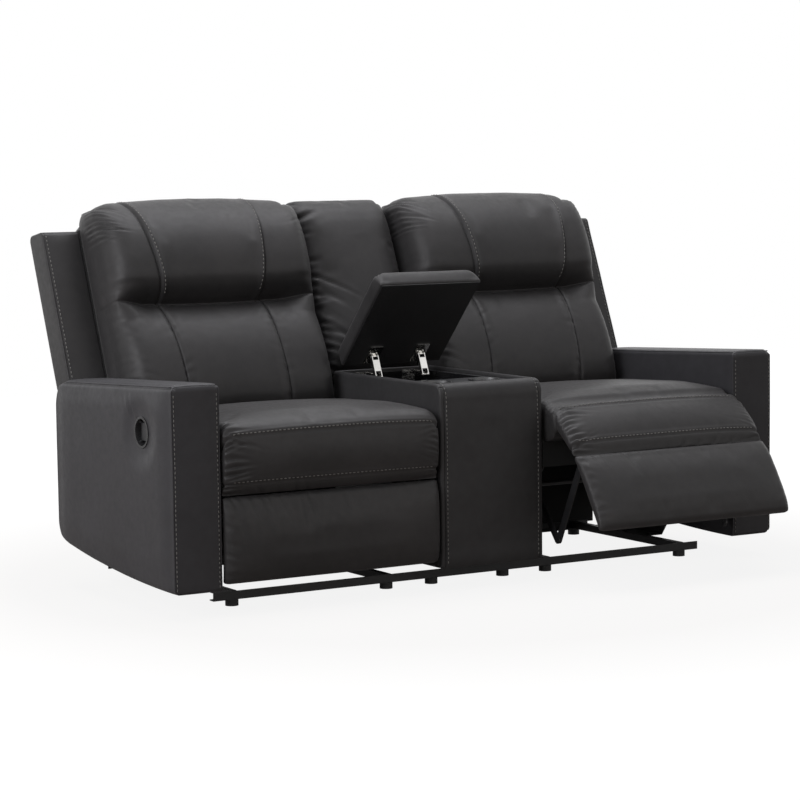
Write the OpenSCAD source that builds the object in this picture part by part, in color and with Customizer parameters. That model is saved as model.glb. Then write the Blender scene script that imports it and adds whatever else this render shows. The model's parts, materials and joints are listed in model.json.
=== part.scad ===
// Reclining loveseat: two reclining seats either side of a storage console.
// Measures run from the front plane of the arms (Y 0, +Y to the rear), the floor
// (Z 0) and the middle of the console (X 0). The left seat is drawn closed, the
// right footrest partly out and the console lid up.

/* [Overall] */
// Width across the outer faces of the arms
overall_w = 1860; // [1700:10:2100]
// Height of the seat frame's underside above the floor
seat_frame_z = 300; // [285:5:330]
// Lean of the backs from upright, in degrees
back_lean = 22; // [16:1:26]
// How far open the left footrest is drawn, in degrees of the knee hinge
knee_angle_left = 0; // [0:0.1:90]
// How far open the right footrest is drawn, in degrees of the knee hinge
knee_angle_right = 48.9; // [0:0.1:90]
// How far up the console lid is drawn, in degrees
lid_angle = 46; // [0:1:46]

/* [Arms] */
// Thickness of an arm
arm_w = 130; // [100:5:170]
// Height of an arm at its front
arm_h = 580; // [540:5:640]
// Depth of an arm, front to rear
arm_d = 714; // [660:5:760]
// Fall of the arm's top edge from front to rear
arm_fall = 32; // [0:2:60]
// Gap below the arm at its front
arm_gap = 62; // [50:2:80]
// Rise of the arm's lower edge toward the rear
arm_sweep = 60; // [0:5:90]
// Padded cover over the arm frame
arm_pad = 14; // [8:1:20]
// Radius of the arm's upper rear corner
arm_rear_r = 86; // [50:2:110]
// Radius of the arm's other corners
arm_corner_r = 14; // [10:1:30]
// Plywood of the arm, console and back frames
ply = 15; // [12:1:18]

/* [Latch] */
// Diameter of the latch bezel
bezel_d = 80; // [70:2:90]
// Depth of the latch bowl in the arm
bezel_depth = 24; // [18:1:28]
// Distance of the latch behind the arm's front
latch_y = 168; // [120:4:220]
// Height of the latch above the floor
latch_z = 453; // [400:5:500]
// Diameter of the release cable's sheath
cable_d = 6; // [5:1:8]

/* [Console] */
// Width of the console over its padded sides
console_w = 318; // [290:2:340]
// Height of the console's padded rim
console_h = 541; // [520:2:570]
// Depth of the console
console_d = 566; // [560:2:580]
// Gap below the console
console_gap = 58; // [45:2:80]
// Padded cover over the console frame
console_pad = 12; // [8:1:16]
// Radius of the console's upper front edge
console_r = 28; // [20:2:34]
// How far the tray lies below the padded rim
tray_drop = 11; // [6:1:16]
// Thickness of the tray
tray_t = 12; // [9:1:15]
// Distance between the cup holders' middles
cup_pitch = 150; // [140:2:160]
// Distance of the cup holders behind the console's front
cup_y = 152; // [130:2:165]
// Inner diameter of a cup holder
cup_d = 76; // [70:1:80]
// Depth of a cup holder
cup_depth = 72; // [60:2:90]
// Width of the storage bin's mouth
bin_w = 250; // [220:2:260]
// Distance of the storage bin behind the console's front
bin_y = 246; // [244:1:256]
// Depth of the storage bin below the tray
bin_depth = 215; // [150:5:230]
// Wall of the storage bin
bin_wall = 3; // [2:0.5:4]

/* [Lid] */
// Length of the console lid
lid_l = 320; // [310:2:326]
// Thickness of the lid's padding
lid_pad_t = 48; // [36:2:56]
// Thickness of the lid's board
lid_board_t = 14; // [10:1:18]
// Distance between the two lid hinges
hinge_pitch = 150; // [120:5:180]
// Diameter of the lid hinges' pins
hinge_pin_d = 5; // [4:1:6]

/* [Seats] */
// Gap between a seat and the arm or console beside it
seat_gap = 13; // [8:1:20]
// Height of the seat's crown above the floor
seat_top = 506; // [490:2:530]
// Depth of the seat cushion
seat_d = 474; // [440:2:476]
// Thickness of the front roll
roll_t = 28; // [22:1:30]
// Width of the seat frame's timber
rail_t = 20; // [16:1:24]
// Height of the seat frame's timber
rail_h = 78; // [60:2:84]
// Thickness of the seat webbing
web_t = 2; // [1.5:0.5:3]
// Width of a webbing strap
web_w = 50; // [40:5:60]
// Distance that a seat slides forward as its back reclines
seat_slide = 40; // [20:5:50]

/* [Footrest] */
// Height of the footrest panel
foot_h = 220; // [180:2:230]
// Thickness of the footrest's padding
foot_pad_t = 26; // [18:1:30]
// Thickness of the footrest's board
foot_board_t = 12; // [9:1:15]
// Length of a rear link between its pivots
rear_link_l = 178; // [176:0.5:180]
// Length of a front link between its pivots
front_link_l = 233.7; // [232:0.1:235]
// Width of a link
link_w = 22; // [18:1:26]
// Thickness of a link
link_t = 4; // [3:0.5:5]
// Diameter of a pivot pin
pin_d = 8; // [6:1:10]
// Diameter of the tube that joins a pair of rear links
tube_d = 14; // [12:1:20]

/* [Backs] */
// Length of a back from its hinge to the top of its headrest
back_l = 715; // [660:5:740]
// Thickness of a back's cushions
back_cushion_t = 158; // [130:2:164]
// Height of the headrest roll
headrest_h = 321; // [260:1:340]
// Thickness of a wing
wing_t = 88; // [70:2:100]
// Width of a wing
wing_w = 104; // [90:2:110]
// Length of a back from its hinge to the top of its wing
wing_top = 645; // [620:5:670]
// Width of the back frame's ribs
rib_w = 40; // [30:2:50]
// Thickness of the rear cover
rear_pad = 10; // [6:1:14]
// Thickness of the middle back cushion
mid_cushion_t = 84; // [60:2:100]
// Gap between a back and the middle back section, from side to side
back_gap = 10; // [8:1:14]

/* [Base] */
// Height of a glide
glide_h = 16; // [12:1:25]
// Diameter of a glide
glide_d = 34; // [28:1:40]
// Height of the base rails
base_h = 22; // [20:1:26]
// Wall of the base rails
base_wall = 3; // [2.5:0.5:4]
// Distance of the front and rear rails' ends inside the arms' outer faces
rail_end = 166; // [145:1:175]
// Distance of the front rail behind the arm's front
front_rail_y = 120; // [110:2:130]
// Distance of the rear rail behind the arm's front
rear_rail_y = 640; // [620:2:655]
// Thickness of the lined panel that closes the rear below the backs
rear_panel_t = 4; // [3:0.5:6]
// How far the lined panel hangs below the top of the rails
rear_panel_drop = 8; // [4:1:14]

/* [Hidden] */
$fn = 48;

leather = [0.17, 0.17, 0.18];
leather_dark = [0.12, 0.12, 0.12];
timber = [0.72, 0.58, 0.40];
steel_black = [0.10, 0.10, 0.11];
nickel = [0.75, 0.75, 0.76];
plastic_black = [0.08, 0.08, 0.08];
webbing_tan = [0.45, 0.38, 0.30];

// Gap between soft pieces, and round a pin that turns
soft_gap = 0.5;
pin_fit = 0.1;
// The links' last pivot stays loose by this much
loose_fit = 0.6;

// Side faces: arm inside, console outside, and the seat between them
arm_in = overall_w / 2 - arm_w;
console_side = console_w / 2;
seat_in = console_side + seat_gap;
seat_out = arm_in - seat_gap;
seat_mid = (seat_in + seat_out) / 2;
seat_w = seat_out - seat_in;

// Seat frame, webbing and cushion, from the bottom up
frame_top = seat_frame_z + rail_h;
deck_z = frame_top + web_t;
frame_y = 20;
frame_rear = 555;

// The knee hinge lies at the roll's upper front edge, the crease below it
knee_y = -11;
knee_z = 477;
crease_y = 0;
crease_z = seat_frame_z - 4;
crease_gap = 0.3;
// The knee hinge's leather joins the seat's nose to the front roll, this far above and below
knee_gap = 0.2;
// The footrest turns this share of the knee's angle
foot_share = 32 / 48.9;
// Front faces of the front roll and the footrest panel, and the board behind the panel
roll_front = -9;
foot_front = -8;
foot_board_y = foot_front + foot_pad_t + 0.3;
foot_margin = 12;

// Footrest linkage: fixed pivot on the seat frame and the bracket's pivot
link_pivot_y = 104.3;
link_pivot_z = 243.8;
bracket_y = 42.2;
bracket_z = -13.5;
bracket_r = 10;
// Gap between links that lie side by side
link_space = 1;

// Backs are drawn upright about their hinge and leaned back
hinge_y = 602;
hinge_z = 342;
mid_w = console_w - 6;
back_in = mid_w / 2 + back_gap;
back_out = seat_out;
back_low = -56;
shoulder = 48;
cushion_low = 52;
// The wings stop above the arms
wing_low = (arm_h - arm_fall - 7.6 - hinge_z) / cos(back_lean);
mid_low = 170;
rib_depth = wing_t - ply - rear_pad - 0.3;
// Radius of the steel round a pivot
pivot_r = 14;
tongue_in = seat_in + rail_t + link_t + 0.5;
tongue_out = seat_out - rail_t - link_t - 0.5;

// Console tray, bin and lid
tray_z = console_h - tray_drop;
bin_l = console_d - console_pad - bin_wall * 2 - bin_y;
lid_under = console_h + 2.5;
lid_axis_y = 547;
lid_axis_z = lid_under + 46.5;
lid_rear = 548;

rail_z = glide_h + base_h;
rail_half = overall_w / 2 - rail_end;
// The origin lies under the middle of the depth from the open footrest to the wings
foot_reach = knee_turned([foot_front, crease_z - foot_h], knee_angle_right);
back_reach = hinge_y + wing_top * sin(back_lean) + wing_t * cos(back_lean);
front_y = -(foot_reach[0] + back_reach) / 2;

// A point of the footrest panel, in the plane of its side, as the knee opens
function turned(p, c, a) = [
    c[0] + (p[0] - c[0]) * cos(a) + (p[1] - c[1]) * sin(a),
    c[1] - (p[0] - c[0]) * sin(a) + (p[1] - c[1]) * cos(a)];
function crease(a) = turned([crease_y, crease_z], [knee_y, knee_z], a);
function knee_turned(p, a) =
    let(c = crease(a), q = turned(p, [crease_y, crease_z], a * foot_share))
    [q[0] - crease_y + c[0], q[1] - crease_z + c[1]];
function bracket_pivot(a) = knee_turned([crease_y + bracket_y, crease_z + bracket_z], a);

// The point at distances r and s from two centres, on the right of the line p to q
function two_bar(p, q, r, s) =
    let(d = norm(q - p), u = (q - p) / d, m = (r * r - s * s + d * d) / (2 * d),
        h = sqrt(max(0, r * r - m * m)))
    p + m * u + h * [u[1], -u[0]];
function link_joint(a) =
    let(o = [link_pivot_y, link_pivot_z], k = bracket_pivot(a),
        j = two_bar(o, k, rear_link_l, front_link_l), i = two_bar(k, o, front_link_l, rear_link_l))
    j[1] < i[1] ? j : i;
function direction(p, q) = atan2(q[1] - p[1], q[0] - p[0]);

// Points on an arc
function arc(c, r, from, to, n) = [for (i = [0:n])
    let(a = from + (to - from) * i / n) [c[0] + r * cos(a), c[1] + r * sin(a)]];

// Everything below is drawn from the arms' front plane and moved to the origin here
module placed() { translate([0, front_y, 0]) children(); }
// side is -1 on the left and 1 on the right; pieces are drawn on the right
module on_side(side) {
    placed() {
        if (side < 0) mirror([1, 0, 0]) children();
        else children();
    }
}
// A flat outline in Y and Z, from x to x + w
module side_plate(x, w) {
    translate([x, 0, 0]) rotate([90, 0, 90]) linear_extrude(w) children();
}
module x_rod(x, y, z, l, d) { translate([x, y, z]) rotate([0, 90, 0]) cylinder(h = l, d = d); }

// Soft forms are lofted: ring i, point j is point(i, j), and both ends are closed
function ring_faces(n, k) = concat(
    [for (i = [0:n - 2], j = [0:k - 1]) [i * k + j, (i + 1) * k + j, i * k + (j + 1) % k]],
    [for (i = [0:n - 2], j = [0:k - 1])
        [i * k + (j + 1) % k, (i + 1) * k + j, (i + 1) * k + (j + 1) % k]],
    [for (j = [0:k - 1]) [n * k, j, (j + 1) % k]],
    [for (j = [0:k - 1]) [n * k + 1, (n - 1) * k + (j + 1) % k, (n - 1) * k + j]]);
function middle(ring, k) = [for (c = [0:2]) total(ring, c, k - 1) / k];
function total(ring, c, i) = i < 0 ? 0 : ring[i][c] + total(ring, c, i - 1);
module loft(rings) {
    n = len(rings);
    k = len(rings[0]);
    polyhedron(points = concat([for (r = rings, p = r) p],
        [middle(rings[0], k), middle(rings[n - 1], k)]), faces = ring_faces(n, k));
}
// A rounded rectangle about 0, with ny and nz steps along its sides and m in each corner
function ring_outline(hy, hz, r, m, ny, nz) =
    let(y = hy - r, z = hz - r)
    concat([for (i = [0:nz]) [hy, -z + 2 * z * i / nz]], inner_arc([y, z], r, 0, m),
        [for (i = [0:ny]) [y - 2 * y * i / ny, hz]], inner_arc([-y, z], r, 90, m),
        [for (i = [0:nz]) [-hy, z - 2 * z * i / nz]], inner_arc([-y, -z], r, 180, m),
        [for (i = [0:ny]) [-y + 2 * y * i / ny, -hz]], inner_arc([y, -z], r, 270, m));
function inner_arc(c, r, from, m) = [for (i = [1:1:m - 1])
    let(a = from + 90 * i / m) [c[0] + r * cos(a), c[1] + r * sin(a)]];
// Stations along a length: close together over each rounded end, of radius r
function stations(l, r, ends, mids) = concat(
    [for (i = [0:ends]) r * (1 - cos(90 * i / ends))], mids,
    [for (i = [ends:-1:0]) l - r * (1 - cos(90 * i / ends))]);
// How far a ring is drawn in where the end is rounded
function end_draw(u, l, r) =
    let(d = min(u, l - u)) d >= r ? 0 : r - sqrt(max(0, r * r - (r - d) * (r - d)));
function dip(v, at, w) = exp(-pow((v - at) / w, 2));

// A cushion along X, from corner lo to corner hi, with edges of radius r. Its rings have m
// steps in a corner, ny and nz along the sides, and lie at the lengths in mids. front, top,
// back and under are how far the middle of each face stands out, side how far the ends are
// drawn in, warp how far the rings lean, and seam(u, p) sinks sewn lines into the faces.
module cushion(lo, hi, r, m, ny, nz, mids, front, top, back, under, side, warp, seam) {
    l = hi[0] - lo[0];
    hy = (hi[1] - lo[1]) / 2;
    hz = (hi[2] - lo[2]) / 2;
    e = min(r, min(hy, hz) * 0.9);
    loft([for (u = stations(l, e, 3, mids))
        let(i = end_draw(u, l, e), v = 2 * u / l - 1, fall = 1 - v * v)
        [for (q = ring_outline(hy - i, hz - i, max(1.5, e - i), m, ny, nz))
            let(p = [q[0] / (hy - i), q[1] / (hz - i)], cy = 1 - p[0] * p[0], cz = 1 - p[1] * p[1],
                deep = seam(u, p), pull = abs(v) > 0.94 ? side * max(cy, cz) : 0)
            [lo[0] + u - sign(v) * pull + warp * fall * p[1],
                (lo[1] + hi[1]) / 2 + q[0] + fall * cz * (p[0] < 0 ? -front : back)
                    - deep[0] * sign(p[0]) * abs(p[0]),
                (lo[2] + hi[2]) / 2 + q[1] + fall * cy * (p[1] < 0 ? -under : top)
                    - deep[1] * sign(p[1])]]]);
}

// The arm's side outline, drawn in from all its edges by inset
function arm_low(y) = arm_gap + arm_sweep * pow(y / arm_d, 2);
function arm_high(y) = arm_h - arm_fall * y / arm_d;
function arm_outline(inset, drop) =
    let(r = arm_rear_r - inset, q = arm_corner_r * 3 - inset, s = max(2, arm_corner_r - inset),
        rear = arm_d - inset, low = arm_low(arm_d - q) + inset)
    concat(
        arc([inset + s, arm_high(0) - inset - s], s, 90, 180, 4),
        [for (i = [0:8]) let(y = inset + (rear - q - inset) * i / 8) [y, arm_low(y) + inset - drop]],
        arc([rear - q, low + q], q, 285, 360, 5),
        arc([rear - r, arm_high(rear - r) - inset - r], r, 0, 87, 7));

module latch_hole(d) {
    x_rod(overall_w / 2 - arm_pad - ply - 1, latch_y, latch_z, arm_pad + ply + 10, d);
}

module arm_frame(side) {
    post_w = 60;
    post_top = arm_high(arm_d) - arm_pad - arm_rear_r * 0.6;
    color(timber) on_side(side) difference() {
        union() {
            for (x = [arm_in + arm_pad, overall_w / 2 - arm_pad - ply])
                side_plate(x, ply) polygon(arm_outline(arm_pad, 0));
            for (y = [arm_pad + 6, (arm_d - post_w) / 2, arm_d - arm_pad - post_w - 16])
                side_plate(arm_in + arm_pad + ply - 1, arm_w - 2 * arm_pad - 2 * ply + 2)
                    translate([y, arm_low(y + post_w) + arm_pad + 8])
                        square([post_w, post_top - arm_low(y + post_w) - arm_pad - 8]);
        }
        latch_hole(bezel_d + 2);
        x_rod(arm_in, cable_y, cable_exit_z, arm_pad + ply + 2, cable_d + 4);
    }
}

// Padded cover: closed round the frame, open below where it is stapled
module arm_cover(side) {
    color(leather) on_side(side) difference() {
        side_plate(arm_in, arm_w) polygon(arm_outline(0, 0));
        side_plate(arm_in + arm_pad, arm_w - 2 * arm_pad) polygon(arm_outline(arm_pad, arm_pad * 3));
        latch_hole(bezel_d - 4);
        x_rod(arm_in - 1, cable_y, cable_exit_z, arm_pad + 2, cable_d + 4);
    }
}

// Latch: a bowl let into the arm's outer side, and a paddle that swings out of it
bowl_d = bezel_d - 12;
paddle_pin_d = 4;
paddle_h = bowl_d - 24;
paddle_w = bowl_d - 28;
paddle_t = 4;
paddle_pin_y = paddle_w / 2 - 1;
ear_t = 3;
module latch_bezel(side) {
    lip = 2;
    floor_t = 3;
    pin_x = overall_w / 2 - bezel_depth * 0.45;
    color(plastic_black) on_side(side) difference() {
        union() {
            difference() {
                union() {
                    x_rod(overall_w / 2, latch_y, latch_z, lip, bezel_d);
                    x_rod(overall_w / 2 - bezel_depth, latch_y, latch_z, bezel_depth + 1, bezel_d - 4.4);
                }
                x_rod(overall_w / 2 - bezel_depth + floor_t, latch_y, latch_z, bezel_depth + lip, bowl_d);
            }
            for (z = [latch_z - paddle_h / 2 - 0.3 - ear_t, latch_z + paddle_h / 2 + 0.3])
                translate([pin_x - 5, latch_y + paddle_pin_y - 4, z]) cube([10, 13, ear_t]);
        }
        translate([pin_x, latch_y + paddle_pin_y, latch_z - paddle_h / 2 - 4])
            cylinder(h = paddle_h + 8, d = paddle_pin_d + 2 * pin_fit);
    }
}
module latch_paddle(side) {
    color(leather_dark) on_side(side)
        translate([overall_w / 2 - bezel_depth * 0.45, latch_y + paddle_pin_y, latch_z]) {
            translate([0, 0, -paddle_h / 2 - ear_t]) cylinder(h = paddle_h + 2 * ear_t, d = paddle_pin_d);
            difference() {
                translate([-paddle_t / 2, -paddle_w, -paddle_h / 2]) cube([paddle_t, paddle_w, paddle_h]);
                translate([-paddle_t, -paddle_w - paddle_h * 0.6, 0]) rotate([0, 90, 0])
                    cylinder(h = paddle_t * 2, d = paddle_h * 1.4);
            }
        }
}

// Sheathed cables inside the arms, from the back of each latch to the seat mechanism
cable_bend = 30;
cable_y = latch_y + cable_bend;
cable_exit_z = 200;
cable_x = overall_w / 2 - bezel_depth - 26;
module release_cables() {
    color(plastic_black) for (side = [-1, 1]) on_side(side) {
        x_rod(cable_x, cable_y, latch_z, overall_w / 2 - bezel_depth - cable_x, cable_d + 6);
        translate([cable_x, cable_y, cable_exit_z + cable_bend])
            cylinder(h = latch_z - cable_exit_z - cable_bend, d = cable_d);
        translate([cable_x - cable_bend, cable_y, cable_exit_z + cable_bend])
            rotate([90, 0, 0]) rotate([0, 0, -90]) rotate_extrude(angle = 90)
                translate([cable_bend, 0]) circle(d = cable_d);
        x_rod(plate_x(1) + plate_t, cable_y, cable_exit_z,
            cable_x - cable_bend - plate_x(1) - plate_t, cable_d);
    }
}

// Console
module console_frame() {
    w = console_w - 2 * console_pad;
    z = console_gap + 4;
    gap = 0.2;
    color(timber) placed() {
        for (x = [-w / 2, w / 2 - ply])
            translate([x, console_pad, z]) cube([ply, console_d - 2 * console_pad, tray_z - tray_t - z]);
        translate([-w / 2 + ply + gap, console_pad, z])
            cube([w - 2 * ply - 2 * gap, ply, tray_z - tray_t - z]);
        translate([-w / 2 + ply + gap, console_d - console_pad - ply, z])
            cube([w - 2 * ply - 2 * gap, ply, tray_z - tray_t - bin_depth - z - 2]);
    }
}
module console_cover() {
    inner = console_w - 2 * console_pad;
    color(leather) placed() difference() {
        side_plate(-console_side, console_w) polygon(concat(
            arc([console_r, console_h - console_r], console_r, 90, 180, 6),
            [[0, console_gap], [console_d, console_gap], [console_d, console_h]]));
        translate([-inner / 2, console_pad, console_gap - 1])
            cube([inner, console_d - 2 * console_pad, tray_z - console_gap + 1]);
        translate([-inner / 2 + 4, console_r + 2, tray_z - 2])
            cube([inner - 8, console_d - console_r - console_pad - 2, 30]);
    }
}
module console_tray() {
    inner = console_w - 2 * console_pad;
    color(leather_dark) placed() difference() {
        translate([-inner / 2, console_pad, tray_z - tray_t])
            cube([inner, console_d - 2 * console_pad, tray_t]);
        translate([-bin_w / 2 - bin_wall, bin_y, tray_z - tray_t - 1])
            cube([bin_w + 2 * bin_wall, bin_l + 2 * bin_wall + 1, tray_t + 2]);
        for (x = [-1, 1]) translate([x * cup_pitch / 2, cup_y, tray_z - tray_t - 1])
            cylinder(h = tray_t + 2, d = cup_bore);
    }
}
module storage_bin() {
    color(plastic_black) placed() difference() {
        translate([-bin_w / 2 - bin_wall, bin_y, tray_z - tray_t - bin_depth])
            cube([bin_w + 2 * bin_wall, bin_l + 2 * bin_wall, bin_depth + tray_t]);
        translate([-bin_w / 2, bin_y + bin_wall, tray_z - tray_t - bin_depth + bin_wall])
            cube([bin_w, bin_l, bin_depth + tray_t]);
    }
}
// A cup holder's steel comes up to the top of the ring round it
cup_wall = 1.5;
cup_lip = 4;
cup_bore = cup_d + 2 * cup_wall + 0.8;
module cup_rings() {
    color(plastic_black) placed() for (x = [-1, 1])
        translate([x * cup_pitch / 2, cup_y, tray_z]) difference() {
            cylinder(h = cup_lip, d = cup_bore + 9);
            translate([0, 0, -1]) cylinder(h = cup_lip + 2, d = cup_bore);
        }
}
module cup_holders() {
    color(nickel) placed() for (x = [-1, 1])
        translate([x * cup_pitch / 2, cup_y, tray_z - cup_depth]) difference() {
            cylinder(h = cup_depth + cup_lip, d = cup_d + 2 * cup_wall);
            translate([0, 0, cup_wall]) cylinder(h = cup_depth + cup_lip, d = cup_d);
        }
}

// The lid and all it carries turn about the hinges' mean centre
module lid_turned(a) {
    placed() translate([0, lid_axis_y, lid_axis_z]) rotate([-a, 0, 0])
        translate([0, -lid_axis_y, -lid_axis_z]) children();
}
module lid_board() {
    color(plastic_black) lid_turned(lid_angle)
        translate([-console_side + 4, lid_rear - lid_l + 3, lid_under])
            cube([console_w - 8, lid_l - 6, lid_board_t]);
}
module lid_pad() {
    z = lid_under + lid_board_t;
    color(leather) lid_turned(lid_angle)
        cushion([-console_side, lid_rear - lid_l, z], [console_side, lid_rear, z + lid_pad_t - 6],
            16, 2, 3, 1, [console_w * 0.2, console_w / 2, console_w * 0.8], 0, 6, 0, 0, 2, 0,
            function(u, p) [0, 0]);
}

// Concealed lid hinges: a base arm on the bin's rear wall, two links, a plate on the lid
hinge_base_y = 519;
hinge_base_z = 530;
hinge_lid_y = 507.3;
hinge_lid_z = lid_under - 6.5;
hinge_link_l = 60;
hinge_link_w = 12;
hinge_link_t = 2.5;
hinge_arm_w = 8;
hinge_leaf_w = 40;
// Inner faces of the two pairs of links, beside the arm that carries them
hinge_gap = 0.5;
hinge_rear_x = hinge_arm_w / 2 + 2 * hinge_gap;
hinge_front_x = hinge_rear_x + hinge_link_t + hinge_gap;
hinge_side = hinge_front_x + hinge_link_t + 2 * hinge_gap;
function lid_pivot(a) = turned([hinge_lid_y, hinge_lid_z], [lid_axis_y, lid_axis_z], a);
function hinge_knee(a) =
    two_bar(lid_pivot(a), [hinge_base_y, hinge_base_z], hinge_link_l, hinge_link_l);
// A link from p to q of thickness t and width w, with holes of diameters d and e, or none
module flat_link(p, q, x, t, w, d, e) {
    a = direction(p, q);
    side_plate(x, t) difference() {
        polygon(concat(arc(q, w / 2, a - 90, a + 90, 12), arc(p, w / 2, a + 90, a + 270, 12)));
        if (d > 0) translate(p) circle(d = d);
        if (e > 0) translate(q) circle(d = e);
    }
}
module at_hinges() {
    for (s = [-1, 1]) translate([s * hinge_pitch / 2, 0, 0]) children();
}
module hinge_bases() {
    wall_y = bin_y + bin_wall + bin_l;
    w = hinge_arm_w;
    leaf_h = 44;
    color(nickel) placed() at_hinges() {
        translate([-hinge_leaf_w / 2, wall_y - hinge_link_t, hinge_base_z + w / 2 - leaf_h])
            cube([hinge_leaf_w, hinge_link_t, leaf_h]);
        translate([-w / 2, hinge_base_y, hinge_base_z - w / 2]) cube([w, wall_y - 2 - hinge_base_y, w]);
        x_rod(-w / 2, hinge_base_y, hinge_base_z, w, w);
        x_rod(-hinge_front_x, hinge_base_y, hinge_base_z, 2 * hinge_front_x, hinge_pin_d);
    }
}
module hinge_rear_links() {
    p = [hinge_base_y, hinge_base_z];
    q = hinge_knee(lid_angle);
    color(nickel) placed() at_hinges() {
        for (x = [-hinge_rear_x - hinge_link_t, hinge_rear_x])
            flat_link(p, q, x, hinge_link_t, hinge_link_w, hinge_pin_d + 2 * pin_fit, 0);
        x_rod(-hinge_side, q[0], q[1], 2 * hinge_side, hinge_pin_d);
    }
}
module hinge_front_links() {
    p = hinge_knee(lid_angle);
    q = lid_pivot(lid_angle);
    web_in = hinge_link_w * 1.3;
    color(nickel) placed() at_hinges() {
        for (x = [-hinge_front_x - hinge_link_t, hinge_front_x])
            flat_link(p, q, x, hinge_link_t, hinge_link_w,
                hinge_pin_d + 2 * pin_fit, hinge_pin_d + 2 * loose_fit);
        // A web joins the pair along its front edge
        translate([-hinge_front_x - 1, p[0], p[1]]) rotate([direction(p, q), 0, 0])
            translate([0, web_in, hinge_link_w / 2 - hinge_link_t])
                cube([2 * hinge_front_x + 2, hinge_link_l - web_in - hinge_link_w, hinge_link_t]);
    }
}
module hinge_plates() {
    w = hinge_arm_w;
    leaf_l = 64;
    slot_w = hinge_link_t + 2 * hinge_gap;
    slot_l = hinge_link_w + 2 * hinge_gap;
    color(nickel) lid_turned(lid_angle) at_hinges() {
        difference() {
            translate([-hinge_leaf_w / 2, hinge_lid_y - leaf_l / 2, lid_under - hinge_link_t])
                cube([hinge_leaf_w, leaf_l, hinge_link_t]);
            for (x = [-hinge_front_x - hinge_link_t, hinge_front_x])
                translate([x - hinge_gap, hinge_lid_y - slot_l / 2, lid_under - hinge_link_t - 1])
                    cube([slot_w, slot_l, hinge_link_t + 2]);
        }
        translate([-w / 2, hinge_lid_y - w / 2, hinge_lid_z]) cube([w, w, lid_under - hinge_lid_z - 1]);
        x_rod(-w / 2, hinge_lid_y, hinge_lid_z, w, w);
        x_rod(-hinge_side, hinge_lid_y, hinge_lid_z, 2 * hinge_side, hinge_pin_d);
    }
}

// Backs: children are drawn upright from the hinge, with -Y toward the sitter
module leaned() {
    translate([0, hinge_y, hinge_z]) rotate([-back_lean, 0, 0]) children();
}
function leaned_at(y, z) = [hinge_y + z * sin(back_lean) + y * cos(back_lean),
    hinge_z + z * cos(back_lean) - y * sin(back_lean)];
module ribs(x0, x1, z0, z1, n) {
    for (i = [0:n - 1])
        translate([x0 + (x1 - x0 - rib_w) * i / (n - 1), ply - 1, z0]) cube([rib_w, rib_depth + 1, z1 - z0]);
}
// Ribbed board, narrow between the seat's side timbers and wide above them
module back_frame(side) {
    x0 = back_in + 4;
    x1 = back_out - 4;
    color(timber) on_side(side) leaned() {
        translate([0, ply, 0]) rotate([90, 0, 0]) linear_extrude(ply) polygon([
            [tongue_in, back_low], [tongue_out, back_low], [tongue_out, shoulder], [x1, shoulder],
            [x1, wing_low], [back_out + 3, wing_low], [back_out + 3, wing_top], [x0, wing_top],
            [x0, shoulder], [tongue_in, shoulder]]);
        ribs(x0, x1, shoulder, wing_top, 5);
        ribs(tongue_in, tongue_out, back_low, shoulder + 1, 5);
    }
}
module rear_cover(side) {
    y = wing_t - rear_pad;
    top = back_l - 12;
    color(leather) on_side(side) leaned() side_plate(back_in, back_out - back_in)
        polygon(concat([[y, back_low], [wing_t, back_low]], arc([wing_t - 24, top - 24], 24, 0, 90, 5),
            [[0.3, top], [0.3, wing_top + 1], [y, wing_top + 1]]));
}
module wing(side) {
    low_r = 30;
    color(leather) on_side(side) leaned() side_plate(back_out + 3, arm_in + wing_w - 2 - back_out - 3)
        polygon(concat(
            arc([14, wing_top - 14], 14, 90, 180, 4), arc([10, wing_low + 10], 10, 180, 270, 3),
            arc([wing_t - low_r, wing_low + low_r], low_r, 270, 360, 5),
            arc([wing_t - 16, wing_top - 16], 16, 0, 90, 4)));
}
function panel_seam(s) = (seat_in + seat_out) / 2 + s * seat_w * 0.232 - back_in - 2;
module back_cushion(side) {
    top = back_l - headrest_h - soft_gap;
    l = back_out - back_in - 2;
    a = panel_seam(-1);
    b = panel_seam(1);
    color(leather) on_side(side) leaned()
        cushion([back_in + 2, 4 - back_cushion_t, cushion_low], [back_out, -0.5, top], 30, 2, 5, 3,
            [a / 2, a - 16, a, a + 16, l / 2, b - 16, b, b + 16, (b + l) / 2],
            8, 0, 0, 0, 4, -9, function(u, p) [p[0] < -0.9
                ? 6 * (dip(u, a, 8) + dip(u, b, 8)) * sqrt(max(0, 1 - p[1] * p[1])) : 0, 0]);
}
module headrest(side) {
    l = back_out - back_in - 2;
    a = l * 0.26;
    color(leather) on_side(side) leaned()
        cushion([back_in + 2, 2 - back_cushion_t, back_l - headrest_h], [back_out, -0.5, back_l - 6],
            44, 2, 4, 3, [a / 2, a - 14, a, a + 14, l / 2, l - a - 14, l - a, l - a + 14, l - a / 2],
            10, 6, 0, 0, 4, 16, function(u, p) [p[0] < -0.4 || p[1] > 0.9
                ? 3 * (dip(u, a, 8) + dip(u, l - a, 8)) : 0, 0]);
}
module back_brackets(side) {
    h = 40;
    color(steel_black) on_side(side) for (s = [-1, 1]) {
        x = s < 0 ? tongue_in - link_t : tongue_out;
        leaned() side_plate(x, link_t) polygon(concat(
            arc([0, 0], pivot_r, 110, 290, 8),
            [[h, -h], [rib_depth, -h], [rib_depth, h], [ply + 1, h + 4]]));
        x_rod(s < 0 ? seat_in + 2 : x, hinge_y, hinge_z, rail_t + link_t - 1.5, pin_d);
    }
}

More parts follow.
